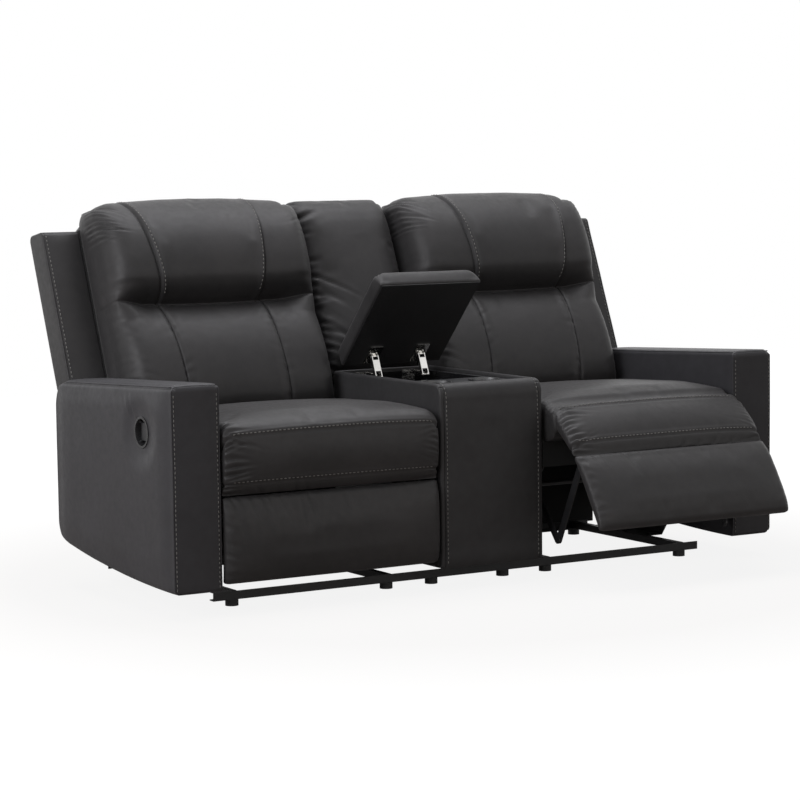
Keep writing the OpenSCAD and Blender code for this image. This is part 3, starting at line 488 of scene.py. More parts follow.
def leather(name, dark, light, rough=(0.40, 0.52), grain=1.0):
    """Faux leather: pebbled grain, fine creases, faint mottling"""
    n = Nodes(name)
    mottle = n.sum((n.noise(5.0, 3.0), 0.6), (n.noise(38.0, 4.0), 0.4))
    worn = n.ramp(mottle, dark, light, (0.36, 0.64))
    pores = n.cells(620.0)
    colour = n.mixed(n.ramp(pores, 0.10, 0.0, (0.0, 0.30)), worn, tuple(c * 0.55 for c in dark))
    crease = n.noise(46.0, 5.0, 0.6, n.scaled(1.0, 1.0, 1.7))
    height = n.sum((pores, 0.35 * grain), (n.noise(260.0, 2.0), 0.30 * grain), (crease, 0.55))
    n.bump(height, 0.15, 0.0011)
    return n.set(Base_Color=colour, Roughness=n.ramp(n.noise(70.0, 3.0), rough[0], rough[1]),
                 Specular_IOR_Level=0.22, Sheen_Weight=0.03, Sheen_Roughness=0.5)


def thread(name, colour):
    n = Nodes(name)
    ply = n.noise(1500.0, 1.0)
    n.bump(ply, 0.4, 0.0004)
    return n.set(Base_Color=n.ramp(ply, tuple(c * 0.72 for c in colour), colour), Roughness=0.7)


def metal(name, dark, light, rough, metallic=1.0, scale=90.0, stretch=(1, 1, 1), depth=0.00006):
    n = Nodes(name)
    grain = n.noise(scale, 4.0, 0.6, n.scaled(*stretch))
    n.bump(grain, 0.35, depth)
    return n.set(Base_Color=n.ramp(n.noise(12.0, 3.0), dark, light), Metallic=metallic,
                 Roughness=n.ramp(grain, rough[0], rough[1]))


def plastic(name, dark, light, rough=(0.34, 0.5), grain=900.0, depth=0.00012):
    n = Nodes(name)
    g = n.noise(grain, 2.0)
    n.bump(g, 0.3, depth)
    return n.set(Base_Color=n.ramp(n.noise(9.0, 3.0), dark, light), Roughness=n.ramp(g, rough[0], rough[1]))


def wood(name):
    n = Nodes(name)
    rings = n.noise(9.0, 5.0, 0.6, n.scaled(1.2, 3.0, 14.0))
    fibre = n.noise(120.0, 3.0, 0.6, n.scaled(1.0, 1.0, 9.0))
    grown = n.ramp(rings, (0.36, 0.23, 0.12), (0.60, 0.43, 0.25))
    colour = n.mixed(n.ramp(fibre, 0.0, 0.45), grown, (0.30, 0.19, 0.10))
    n.bump(fibre, 0.3, 0.0004)
    return n.set(Base_Color=colour, Roughness=0.72)


def woven(name):
    n = Nodes(name)
    warp, weft = n.wave(n.scaled(1, 0, 0)), n.wave(n.scaled(0, 1, 0), bands_direction="Y")
    height = n.sum((warp, 0.5), (weft, 0.5))
    n.bump(height, 0.6, 0.0008)
    return n.set(Base_Color=n.ramp(height, (0.20, 0.15, 0.10), (0.42, 0.34, 0.25)), Roughness=0.85)


def lining(name):
    """Thin black cloth stapled over timber"""
    n = Nodes(name)
    threads = n.noise(900.0, 2.0)
    n.bump(n.sum((threads, 0.5), (n.noise(60.0, 3.0), 0.5)), 0.35, 0.0006)
    return n.set(Base_Color=n.ramp(threads, (0.009, 0.009, 0.009), (0.018, 0.018, 0.018)), Roughness=0.85)


# The arm leather is painted a little lighter and bluer than the cushions' and console's: a painted cool
# light, for the lamp from the left, laid over the whole arm
ARM_SKIN = leather("arm_leather", (0.036, 0.035, 0.038), (0.046, 0.045, 0.049))
CONSOLE_SKIN = leather("console_leather", (0.033, 0.032, 0.033), (0.043, 0.042, 0.043))
SKIN = leather("cushion_leather", (0.033, 0.032, 0.0325), (0.044, 0.042, 0.0425))
THREAD = thread("seam_thread", (0.22, 0.213, 0.20))

# Finishes by material slot or by the start of a node's name
FINISH = {
    "timber": wood("timber"),
    "lined_timber": lining("lined_timber"),
    "black_steel": metal("black_steel", (0.010, 0.010, 0.011), (0.018, 0.018, 0.019), (0.36, 0.50), 0.0,
                         420.0, (1, 1, 1), 0.0001),
    "nickel": metal("nickel", (0.62, 0.61, 0.59), (0.78, 0.77, 0.75), (0.12, 0.24)),
    # The cup holders' steel is painted much darker than bare steel: a painted shade for their deep hollow
    # insides
    "cup_steel": metal("cup_steel", (0.26, 0.26, 0.265), (0.36, 0.36, 0.365), (0.24, 0.36), 1.0, 60.0,
                       (1, 1, 40)),
    "webbing": woven("webbing"),
}
for name, label, dark, light, *how in (
        ("black_plastic", "black_plastic", (0.012, 0.012, 0.013), (0.020, 0.020, 0.021)),
        ("paddle_plastic", "paddle_plastic", (0.018, 0.018, 0.019), (0.028, 0.028, 0.030), (0.30, 0.42)),
        ("glide_plastic", "glide_plastic", (0.010, 0.010, 0.010), (0.018, 0.018, 0.018), (0.5, 0.65)),
        ("cable_sheath", "cable_sheath", (0.012, 0.012, 0.012), (0.020, 0.020, 0.020), (0.45, 0.6)),
        ("tray_finish", "tray_finish", (0.014, 0.014, 0.015), (0.022, 0.022, 0.024), (0.38, 0.52), 700.0),
        ("lid_board_finish", "lid_board_finish", (0.010, 0.010, 0.010), (0.016, 0.016, 0.017), (0.46, 0.6),
         300.0, 0.0002),
        ("latch_bezel", "bezel_plastic", (0.030, 0.030, 0.031), (0.042, 0.042, 0.044), (0.22, 0.32)),
        ("storage_bin", "bin_plastic", (0.010, 0.010, 0.011), (0.016, 0.016, 0.017), (0.12, 0.18), 500.0,
         0.00004)):
    FINISH[name] = plastic(label, dark, light, *how)


def place(o, body, covers=(), blend=None):
    """Hides the parts that a piece covers and hangs it on the body it rides on; a piece that crosses two
    bodies stays where it is
    """
    if covers:
        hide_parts(*covers)
    if blend:
        a, b, start, end = blend
        tuple(world([(0, *start)])[0])
        tuple(world([(0, *end)])[0])
        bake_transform(o)
    else:
        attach(o, body)
    return o


def sew(name, paths, on, body, slot="cushion_upholstery", blend=None, **how):
    o = solid(name, *stitches(paths, tree_of(on), **how), THREAD)
    return place(o, body, blend=blend)


def mirrored(p, side):
    return np.asarray(p, float) * (side, 1, 1)


# Seats

# Outer skin and underside of a closed seat, from its rear over the nose down to the crease
SEAT_ROWS = np.array([
    (474, 460, 474, 383), (452, 474, 452, 383), (400, 481, 400, 383), (300, 486, 300, 383),
    (200, 491, 200, 383), (100, 494, 100, 383), (45, 492, 55, 384), (10, 485, 34, 390), (-8, 472, 24, 400),
    (-17, 452, 20, 400), (-21, 425, 19, 385), (-23, 395, 18.6, 365), (-22.5, 365, 18.4, 345),
    (-18, 339, 18, 328), (-8, 317, 17, 314), (3, 302, 12, 303), (6, 297.6, 9, 298)], float)
FOOT_ROWS = np.array([
    (6, 294, 11, 294), (-3, 287, 17.5, 288), (-10, 271, 18, 276), (-16.5, 246, 18, 250),
    (-19.5, 208, 18, 208), (-19.5, 165, 18, 165), (-18, 128, 18, 129), (-13.5, 99, 18, 102),
    (-3.5, 80.5, 18, 85), (8, 76.4, 13, 78)], float)
SEAT_W = SEAT_OUT - SEAT_IN


class Path:
    """A bent slab: the distance runs along its outer skin, the height from its underside"""

    def __init__(self, rows):
        self.s = np.concatenate([[0], np.cumsum(np.hypot(*np.diff(rows[:, :2], axis=0).T))])
        self.rows = rows
        self.length = self.s[-1]

    def at(self, s, t):
        o, q, i, j = (spline(self.s, self.rows[:, k], s) for k in range(4))
        return i + (o - i) * t, j + (q - j) * t

    def thick(self, s):
        o, q, i, j = (spline(self.s, self.rows[:, k], s) for k in range(4))
        return np.hypot(o - i, q - j)

    def shaped(self, u, width, least, radii):
        """Slab points with rounded edges: the distance, place across, and height from 0 to 1"""
        s, x, t = u.T
        thick = np.maximum(self.thick(s), least)
        size = cols(self.length, width, thick)
        along_r, across_r = radii(s, t, thick)
        r = cols(along_r, across_r, across_r)
        q = rounded(cols(s, x, t * thick), size, r)
        return q[:, 0], q[:, 1], q[:, 2] / thick

    def raised(self, s, t, up):
        """The slab's points at s and t, moved out from its underside"""
        y, z = self.at(s, t)
        y0, z0 = self.at(s, 0)
        n = np.maximum(np.hypot(y - y0, z - z0), 1e-6)
        return y + up * (y - y0) / n, z + up * (z - z0) / n

    def where(self, z, after):
        """Distance at which the outer skin comes down past a height"""
        s = np.linspace(after, self.length, 400)
        return s[np.argmax(spline(self.s, self.rows[:, 1], s) < z)]


SEAT = Path(SEAT_ROWS)
FOOT = Path(FOOT_ROWS)
NOSE = SEAT.s[7]
LINE_UP, LINE_LOW = SEAT.where(451, NOSE), SEAT.where(328, NOSE)


def seat_shape(u, seed, full_end):
    """A seat's points from distance, width and height (0 to 1) over its slab"""
    fore = ease((u[:, 0] - NOSE + 60) / 120)

    def radii(s, t, thick):
        narrow = np.where(s > SEAT.length - 60, np.clip((SEAT.length - s) / 60, 0.3, 1), 1)
        return np.where(s > 300, 5, 16 * t + 5), (7 + 17 * t) * narrow

    s, x, t = SEAT.shaped(u, SEAT_W, 14, radii)
    v = 2 * x / SEAT_W - 1
    edge = np.minimum(x, SEAT_W - x)
    skin = t ** 2
    up = -(11 - 5 * fore) * v * v - 3 * np.abs(v) ** 8
    up += -2.6 * bell(s - LINE_UP, 3.4) - 3.0 * bell(s - LINE_LOW, 3.4)
    up += 2.2 * bell(s - LINE_UP + 9, 6) + 2.0 * bell(s - LINE_LOW + 9, 6)
    p = cols(s, x, 0)
    up += 1.2 * noise(p, 170.0, seed) + 0.3 * noise(p, 42.0, seed + 1)
    for end, e in ((0, x), (1, SEAT_W - x)):
        share = 1.0 if end == full_end else 0.4
        rows = fold_rows(seed * 7 + end, NOSE - 30, SEAT.length - 14, 15, 3.8, 6.0, 32)
        rows += fold_rows(seed * 9 + end, LINE_UP - 26, LINE_UP + 26, 12, 3.4, 4.8, 52, 0.35)
        rows += fold_rows(seed * 11 + end, LINE_LOW - 30, LINE_LOW + 16, 11, 3.4, 4.8, 46, -0.3)
        up += share * folds(s, e, rows) * ease((s - NOSE + 50) / 60)
        up += share * gathered(s, e, seed * 13 + end, 60, NOSE - 60, 75, 9, 1.8, 40, 0.2)
    # Slack leans up from the crease below the roll
    up += gathered(x, SEAT.length - s, seed * 17, SEAT_W * 0.55, SEAT_W - 24, 44, 7, 2.4, 34, 0.6)
    # Ends bulge between the seams and draw in at them
    drawn = 5.0 * fore * (bell(s - LINE_UP, 9) + bell(s - LINE_LOW, 9))
    side = np.sign(v) * bell(edge, 16) * (3.5 * bulge(t) - drawn)
    return cols(SEAT_IN + x + side, *SEAT.raised(s, t, up * skin))


def seat_bend(p, open_angle):
    a, b = np.array([20.0, 490.0]), np.array([-22.0, 470.0])
    d = b - a
    w = ease(((p[:, 1:] - a) @ d) / (d @ d))
    return turned(p, KNEE, w * open_angle)


for name, side in SIDES:
    seed, full_end = (3, 1) if side < 0 else (8, 0)
    rows = steps(NOSE - 40, STEP, (9,))
    rows = np.append(rows, steps(SEAT.length - NOSE + 40, 11, (), (7, 14))[1:] + NOSE - 40)
    coarse = Block(rows, steps(SEAT_W, STEP, (5, 12, 21), (5, 12, 21)), [0, 0.3, 0.7, 1])
    s, x, t = coarse.points.T
    held = (t < 0.9) | (s < 12) | (s > SEAT.length - 15)
    held |= (np.abs(s - LINE_UP) < 9) | (np.abs(s - LINE_LOW) < 9)
    held |= (np.minimum(x, SEAT_W - x) < 22) & (s > NOSE - 40)
    p, faces = puffed(coarse, lambda u: seat_shape(u, seed, full_end), held, 2.5, 0.001, 7)
    angle = 0.0 if side < 0 else KNEE_OPEN
    p = mirrored(seat_bend(p, angle), side)
    o = solid(f"seat_cover_{name}", p, outward(p, faces), SKIN)
    lines = []
    for at in (LINE_UP - 5.5, LINE_LOW - 5.5):
        u = cols(at, np.linspace(16, SEAT_W - 16, 60), 1)
        lines.append(mirrored(seat_bend(seat_shape(u, seed, full_end), angle), side))
    sew(f"seat_stitches_{name}", lines, o, f"knee_{name}", seed=seed)
    ends = ((20, 490), (-22, 470)) if side < 0 else ((25, 505), (-22, 476))
    place(o, None, (f"seat_cushion_{name}", f"front_roll_{name}"),
          (f"seat_{name}", f"knee_{name}", *ends))


def foot_shape(u, seed, full_end):
    """A footrest's points from distance, width and height over its slab"""
    s, x, t = FOOT.shaped(u, SEAT_W, 8, lambda s, t, thick: (3, 6 + 9 * t))
    for end, way in ((0, -1), (SEAT_W, 1)):
        s, x = corner(s, x, FOOT.length, end, 1, way, 14)
        s, x = corner(s, x, 0, end, -1, way, 8)
    v = 2 * x / SEAT_W - 1
    up = 3.5 * (1 - v * v) - 4 * np.abs(v) ** 10
    p = cols(s, x, 0)
    up += 1.3 * noise(p, 120.0, seed) + 0.5 * noise(p, 40.0, seed + 1)
    across = SEAT_W - x if full_end else x
    hung = 1.0 if full_end else 0.35
    up += hung * gathered(across, s, seed * 5, 8, 250, 25, 5.6, 5.4, 60, 0.35)
    up += hung * gathered(across, s, seed * 6, 250, 610, 60, 7.0, 1.6, 36, 0.2)
    for end, e in ((0, x), (1, SEAT_W - x)):
        share = 1.0 if end == full_end else 0.35
        up += share * gathered(s, e, seed * 8 + end, 8, FOOT.length - 20, 27, 5.5, 2.6, 24, 0.2)
    x = x + np.sign(v) * 4 * bell(np.minimum(x, SEAT_W - x), 12) * bulge(t)
    skin = t ** 2 * ease(s / 16) * ease((FOOT.length - s) / 16)
    return cols(SEAT_IN + x, *FOOT.raised(s, t, up * skin))


def foot_turned(p, knee, foot):
    c = turned(np.array([[0, *CREASE]]), KNEE, knee)[0]
    return turned(p, CREASE, foot) + (0, c[1] - CREASE[0], c[2] - CREASE[1])


for name, side in SIDES:
    seed, full_end = (5, 1) if side < 0 else (12, 0)
    coarse = Block(steps(FOOT.length, 17, (6,), (6,)), steps(SEAT_W, STEP, (7, 14), (7, 14)), [0, 0.5, 1])
    s, x, t = coarse.points.T
    held = (t < 0.9) | (s < 9) | (s > FOOT.length - 9)
    p, faces = puffed(coarse, lambda u: foot_shape(u, seed, full_end), held, 1.5, 0.003, 5)
    if side > 0:
        p = foot_turned(p, KNEE_OPEN, FOOT_OPEN)
    p = mirrored(p, side)
    o = solid(f"footrest_cover_{name}", p, outward(p, faces), SKIN)
    start, end = np.array([(0, 0, 301), (0, 0, 281)], float)
    if side > 0:
        start, end = foot_turned(np.array([start, end]), KNEE_OPEN, FOOT_OPEN)
    place(o, None, (f"footrest_pad_{name}",),
          (f"knee_{name}", f"footrest_{name}", start[1:], end[1:]))

# Backs

BACK_IN, BACK_OUT = 166.0, 787.0
BACK_LOW, BACK_TOP = 52.0, 709.0
BACK_W = BACK_OUT - BACK_IN
CREASE_UP = 396.0
PROFILE = np.array((
    (52, 112), (70, 134), (95, 150), (130, 160), (200, 166), (280, 157), (340, 138), (374, 121), (388, 110),
    (396, 100), (404, 117), (418, 145), (440, 167), (480, 179), (535, 180), (590, 170), (632, 150),
    (664, 123), (689, 88), (702, 56), (709, 22)), float)


def head_seam(z, s):
    """Headrest seams, further apart toward the top"""
    f = unit((z - 394) / 315)
    return np.where(s < 0, 348 - 36 * f, 646 + 50 * f)


def low_seam(z, s):
    """Seams below the crease, closer together toward the seat"""
    f = unit((394 - z) / 342)
    return np.where(s < 0, 336 - 8 * f * f - 6 * f, 650 - 30 * f + 8 * f * f)


SEAMS = (342.0, 648.0)


def back_columns():
    """Distances across a back, close together at its edges and seams"""
    ends = (6, 13, 23, 36, 52)
    x = steps(BACK_W, STEP, ends, ends) + BACK_IN
    for seam in SEAMS:
        x = np.append(x[np.abs(x - seam) > 21], seam + np.array([-14, -5, 0, 5, 14]))
    return np.sort(x)


def back_rows():
    """Heights up a back, close together at its crease and its top"""
    low = steps(CREASE_UP - 12 - BACK_LOW, STEP, (8,)) + BACK_LOW
    top = steps(BACK_TOP - 550, 10.5, (), (4, 10, 18, 28))[1:] + 550
    return np.concatenate([low, [390, 396, 402, 409], steps(130, STEP) + 420, top])


def sag(x, z):
    """How far the crease hangs lower than at a back's sides"""
    v = (x - (BACK_IN + BACK_OUT) / 2) / (BACK_W / 2)
    return 11 * unit(1 - v * v) * bell(z - CREASE_UP, 80)


def along_seams(points):
    """A back's points, with the rows and columns at the seams bent to follow them"""
    x, z, t = points.T
    high = ease((z - CREASE_UP + 12) / 24)
    move = np.zeros_like(x)
    for s, seam in zip((-1, 1), SEAMS):
        line = head_seam(z, s) * high + low_seam(z, s) * (1 - high)
        move += (line - seam) * ease(1 - np.abs(x - seam) / 125)
    return cols(x + move, z - sag(x + move, z), t)


def back_depth(x, z, seed, full_end):
    """How far a back's skin stands in front of its board"""
    tx = np.minimum(x - BACK_IN, BACK_OUT - x)
    z = z + sag(x, z)
    top = BACK_TOP - z
    crease = unit((tx - 14) / 90) ** 0.6
    full = spline(*PROFILE.T, z)
    smooth = np.interp(z, (340, 440), (138, 164))
    near = (z > 340) & (z < 440)
    full = np.where(near, full * crease + smooth * (1 - crease), full)
    head = ease((z - CREASE_UP + 4) / 10)
    reach = 62 + 14 * head
    side = unit(tx / reach)
    g = (1 - (1 - side) ** 2.5) ** (1 / 2.1)
    edge = np.minimum(70 + 10 * head, full * 0.62)
    d = edge + (full - edge) * g
    v = (x - (BACK_IN + BACK_OUT) / 2) / (BACK_W / 2)
    d += 4 * (1 - v * v) - 2
    for s in (-1, 1):
        h = (x - head_seam(z, s)) * s
        rolled = -9.0 * bell(h - 1, 3.2) + 4.2 * bell(h + 9, 7) - 4.5 * ease(h / 8) * ease((130 - h) / 90)
        d += head * rolled * ease(top / 30)
        k = (x - low_seam(z, s)) * s
        low = (1 - head) * ease((z - BACK_LOW) / 20)
        d += low * (-6.0 * bell(k, 2.4) + 2.4 * bell(k + 11, 9) + 1.4 * bell(k - 11, 9))
        span = BACK_LOW + 30, CREASE_UP - 16
        d += low * gathered(z, np.maximum(-k, 0), seed * 3 + s, *span, 31, 5.5, 1.4, 26, 0.35) * (k < 4)
        d += low * gathered(z, np.maximum(k, 0), seed * 4 + s, *span, 45, 6.0, 0.8, 24, -0.3) * (k > -4)
    p = cols(x, z, 0)
    uneven = 1.2 * noise(p, 170.0, seed) + 0.4 * noise(p, 52.0, seed + 2) * (1 - 0.7 * head)
    d += uneven * ease((top - 20) / 90)
    # The crease runs out in a plain seam
    d -= 3.4 * bell(z - CREASE_UP, 3.0) * (1 - crease) * ease((tx - 4) / 8)
    for end, e in ((0, x - BACK_IN), (1, BACK_OUT - x)):
        share = 1.0 if end == full_end else 0.3
        turn = ease((z - (BACK_TOP - 190)) / 110)
        pleats = fold_rows(seed * 15 + end, BACK_TOP - 140, BACK_TOP + 40, 14, 3.8, 7.5, 34)
        d += share * folds(z + e * turn, np.minimum(e, top + 40), pleats) * ease((z - (BACK_TOP - 230)) / 90)
        d += share * gathered(z, e, seed * 17 + end, BACK_LOW + 20, BACK_TOP - 190, 36, 6.4, 2.0, 34, -0.35)
        d += share * gathered(z, e, seed * 19 + end, BACK_LOW + 95, BACK_LOW + 190, 24, 5.4, 3.4, 52, -0.5)
    # Small gathers hang from the crease
    span = BACK_IN + 70, BACK_OUT - 70
    d += (1 - head) * gathered(x, CREASE_UP - z, seed * 21, *span, 62, 8, 0.8, 26, 0.2)
    return np.maximum(d, 6)


def back_shape(u, seed, full_end):
    """A back's points, leaned, from width, height and depth (0 at its board to 1)"""
    x, z, t = u.T
    d = back_depth(x, z, seed, full_end)
    tx = np.minimum(x - BACK_IN, BACK_OUT - x)
    mid = (BACK_IN + BACK_OUT) / 2
    away = np.sign(x - mid)
    # Boxing bulges between its seams, the board side is a little smaller
    tucked = 7 * unit(0.12 - t) / 0.12
    x2 = x + away * bell(tx, 14) * (5.0 * bulge(t) - tucked)
    z2 = z - tucked * bell(BACK_TOP - z, 12)
    out = unit((np.abs(x - mid) / (BACK_W / 2) - 0.3) / 0.7)
    z2 = z2 - 8 * out * bell(z - BACK_TOP, 60)
    x2, z2 = corner(x2, z2, BACK_OUT, BACK_TOP, 1, 1, 68)
    x2, z2 = corner(x2, z2, BACK_IN, BACK_TOP, -1, 1, 58)
    x2, z2 = corner(x2, z2, BACK_OUT, BACK_LOW, 1, -1, 20)
    x2, z2 = corner(x2, z2, BACK_IN, BACK_LOW, -1, -1, 20)
    z2 = z2 + 5 * bell(z - BACK_TOP, 40) * (1 - ((x - mid) / (BACK_W / 2)) ** 2) * t
    return leaned(cols(x2, -0.5 - (d - 0.5) * t, z2))


for name, side in SIDES:
    seed, full_end = (4, 1) if side < 0 else (9, 0)
    coarse = Block(back_columns(), back_rows(), [0, 0.12, 0.45, 0.8, 1])
    x, z, t = along_seams(coarse.points).T
    tx = np.minimum(x - BACK_IN, BACK_OUT - x)
    held = (t < 0.9) | (tx < 8) | (BACK_TOP - z < 8) | (z - BACK_LOW < 6)
    z = z + sag(x, z)
    held |= (np.abs(z - CREASE_UP) < 10) & (tx > 14)
    for s in (-1, 1):
        held |= (z > CREASE_UP) & (np.abs(x - head_seam(z, s)) < 9)
        held |= (z < CREASE_UP) & (np.abs(x - low_seam(z, s)) < 9)
    p, faces = puffed(coarse, lambda u: back_shape(along_seams(u), seed, full_end), held, 2.5, 0.002, 9)
    p = mirrored(p, side)
    o = solid(f"back_cover_{name}", p, outward(p, faces), SKIN)
    lines = []
    for s in (-1, 1):
        z = np.linspace(CREASE_UP + 9, BACK_TOP - 6, 70)
        u = cols(head_seam(z, s) - s * 7.5, z, 1)
        lines.append(mirrored(back_shape(u, seed, full_end), side))
    sew(f"head_stitches_{name}", lines, o, f"back_{name}", seed=seed)
    # Piping along the boxing's rear seam, up both sides and over the corners
    z = np.append(np.linspace(BACK_LOW + 14, BACK_TOP, 80), np.full(24, BACK_TOP))
    pipes = []
    for x, way in ((BACK_IN, 1), (BACK_OUT, -1)):
        across = x + way * np.append(np.zeros(80), np.linspace(4, 130, 24))
        u = cols(across, z, 0.1)
        pipes.append(tube(mirrored(back_shape(u, seed, full_end), side), 2.3))
    pipe = solid(f"back_piping_{name}", *joined(*pipes), SKIN)
    place(pipe, f"back_{name}")
    place(o, f"back_{name}", (f"back_cushion_{name}", f"headrest_{name}"))

MID_W, MID_LOW, MID_TOP = 156.0, 170.0, 709.0
MID_PROFILE = np.array((
    (170, 60), (185, 78), (215, 92), (300, 98), (420, 98), (560, 96), (628, 90), (664, 76), (690, 54),
    (703, 34), (709, 12)), float)


def mid_depth(x, z, seed):
    tx = MID_W - np.abs(x)
    full = spline(*MID_PROFILE.T, z)
    side = unit(tx / 66)
    g = (1 - (1 - side) ** 2.4) ** (1 / 2.1)
    edge = full * 0.28
    d = edge + (full - edge) * g
    p = cols(x, z, 0)
    d += (1.6 * noise(p, 110.0, seed) + 0.6 * noise(p, 40.0, seed + 1)) * ease((MID_TOP - z - 14) / 60)
    for end, e in ((0, x + MID_W), (1, MID_W - x)):
        share = 0.35 if end else 1.0
        d += share * gathered(z, e, seed * 3 + end, MID_LOW + 10, MID_TOP - 110, 21, 5.0, 4.6, 26, -0.2)
        d += share * gathered(z, e, seed * 4 + end, MID_LOW + 20, MID_TOP - 230, 26, 7.0, 4.4, 88, -0.7)
    # The upper corner is tucked in with one deep pleat
    d += folds(z, x + MID_W, [(MID_TOP - 76, 8.0, 13.0, 46, 0.28)])
    return np.maximum(d, 5)


def mid_shape(u, seed):
    x, z, t = u.T
    d = mid_depth(x, z, seed)
    x2 = x + np.sign(x) * bell(MID_W - np.abs(x), 14) * -5 * unit(0.2 - t) / 0.2
    for s in (-1, 1):
        x2, z = corner(x2, z, s * MID_W, MID_TOP, s, 1, 34)
        x2, z = corner(x2, z, s * MID_W, MID_LOW, s, -1, 12)
    return leaned(cols(x2, -0.5 - (d - 0.5) * t, z))


def slab(outline, x0, x1, r, step=22, puff=0.0, n=2, ends=None):
    """A padded panel between x0 and x1; its outline gives its size and places points of a unit square"""
    length, height, shape = outline
    w = abs(x1 - x0)
    ends = ends or (r * 0.3, r * 0.65, r * 1.1)
    across = steps(w, step, ends, ends) if w > 3 * r else np.linspace(0, w, 7)
    b = Block(steps(length, step, ends, ends), steps(height, step, ends, ends), across).finer(n)
    q = rounded(b.points, np.array([length, height, w]), r)
    a, c = q[:, 0] / length, q[:, 1] / height
    dome = (1 - (2 * a - 1) ** 4) * (1 - (2 * c - 1) ** 4)
    way = np.sign(x1 - x0)
    x = x0 + way * (q[:, 2] + puff * dome * (2 * q[:, 2] / w - 1))
    return cols(x, *shape(a, c)), b.quads


seed = 6
coarse = Block(steps(2 * MID_W, STEP, (6, 13, 23, 36), (6, 13, 23, 36)) - MID_W,
               steps(MID_TOP - MID_LOW, STEP, (6, 14), (4, 10, 18, 30)) + MID_LOW, [0, 0.2, 0.6, 1])
x, z, t = coarse.points.T
held = (t < 0.9) | (MID_W - np.abs(x) < 14) | (MID_TOP - z < 8) | (z - MID_LOW < 8)
cushion, cushion_faces = puffed(coarse, lambda u: mid_shape(u, seed), held, 2.5, 0.006, 9)


def rear_skin(x0, x1, low, top, r=60):
    """Rear panel of a back with the roll that joins it to the cushion over the top"""
    outer = [(88, low), (89, low + 40), (91, low + 200), (90, top - 200), (85, top - 66), (82, top - 52),
             (72, top - 37), (56, top - 22), (40, top - 10), (26, top - 4), (16, top - 1.5), (8, top - 0.5),
             (1, top - 1)]
    inner = [(78, z) for _, z in outer[:4]]
    inner += [(78, 646), (77, 647), (72, 647), (64, 647), (54, 646.5), *((y, 646) for y in (44, 30, 12, 1))]
    path = Path(np.array([(*a, *b) for a, b in zip(outer, inner)], float))
    w = x1 - x0
    b = Block(steps(path.length, 24, (5, 12), (5, 12)), steps(w, 24, (4, 9), (4, 9)), [0, 0.5, 1]).finer(2)
    s, x, t = path.shaped(b.points, w, 6, lambda s, t, thick: (2.5, np.minimum(7, thick * 0.45)))
    y, z = path.at(s, t)
    y = y + t * 2.5 * (1 - (2 * x / w - 1) ** 4) * ease((600 - z) / 80)
    seams = bell(x - 40, 3) + bell(w - 40 - x, 3)
    y = y + t * (1.2 * noise(cols(x, z, 0), 110.0, 5) - 2.5 * seams)
    x, z = corner(x, z, w, top, 1, 1, r)
    x, z = corner(x, z, 0, top, -1, 1, r)
    return cols(x0 + x, y, z), b.quads


p, f = rear_skin(-MID_W, MID_W, 140, 701, 34)
rear = leaned(p)
both = joined((cushion, outward(cushion, cushion_faces)), (rear, outward(rear, f)))
o = solid("centre_back_cover", *both, SKIN)
place(o, "root", ("centre_back_cushion",))

WING_IN, WING_OUT, WING_LOW, WING_TOP = 790.0, 898.0, 209.0, 643.0
for name, side in SIDES:
    p, f = rear_skin(BACK_IN - 2, BACK_OUT, -56, 703, 90)
    p = mirrored(leaned(p), side)
    o = solid(f"rear_skin_{name}", p, outward(p, f), SKIN)
    place(o, f"back_{name}", (f"rear_cover_{name}",))

    def wing_outline(a, c):
        y, z = a * 88, WING_LOW + c * (WING_TOP - WING_LOW)
        y, z = corner(y, z, 88, WING_LOW, 1, -1, 16)
        y, z = corner(y, z, 88, WING_TOP, 1, 1, 20)
        y, z = corner(y, z, 0, WING_TOP, -1, 1, 12)
        return y, z + 0.22 * y * c

    outline = (88, WING_TOP - WING_LOW, wing_outline)
    p, f = slab(outline, WING_IN, WING_OUT, 4, 18, 1.5, ends=(1.3, 2.8, 5, 8.5, 13, 18))
    v = (p[:, 0] - WING_IN) / (WING_OUT - WING_IN)
    swell = 3.0 * bulge(v) * ease((WING_TOP - p[:, 2]) / 30) - 2.0 * bell(p[:, 0] - (WING_OUT - 6), 2.4)
    p[:, 1] -= bell(p[:, 1], 12) * (swell + 0.9 * noise(p, 60.0, 3 + side))
    p = mirrored(leaned(p), side)
    o = solid(f"wing_cover_{name}", p, outward(p, f), SKIN)
    z = np.linspace(WING_LOW + 4, WING_TOP - 9, 60)
    line = leaned(cols(np.full_like(z, WING_OUT - 10), -4, z))
    sew(f"wing_stitches_{name}", [mirrored(line, side)], o, f"back_{name}", seed=5)
    place(o, f"back_{name}", (f"wing_{name}",))

# Arms

ARM_H, ARM_D, ARM_FALL, ARM_GAP, ARM_SWEEP = 580.0, 714.0, 32.0, 62.0, 60.0
LATCH = (168.0, 453.0)
SKIN_IN, SKIN_OUT = ARM_IN - 3, ARM_OUT + 1.5


def arm_low(y):
    return ARM_GAP + ARM_SWEEP * (y / ARM_D) ** 2


def arm_high(y):
    return ARM_H - ARM_FALL * y / ARM_D


def arm_outline(a, c):
    """Square points in the arm's outline, its rounded corners drawn before its slants"""
    y, z = a * ARM_D, c * 500
    y, z = corner(y, z, ARM_D, 500, 1, 1, 84)
    y, z = corner(y, z, ARM_D, 0, 1, -1, 58)
    y, z = corner(y, z, 0, 500, -1, 1, 16)
    y, z = corner(y, z, 0, 0, -1, -1, 8)
    return y, arm_low(y) + z / 500 * (arm_high(y) - arm_low(y))


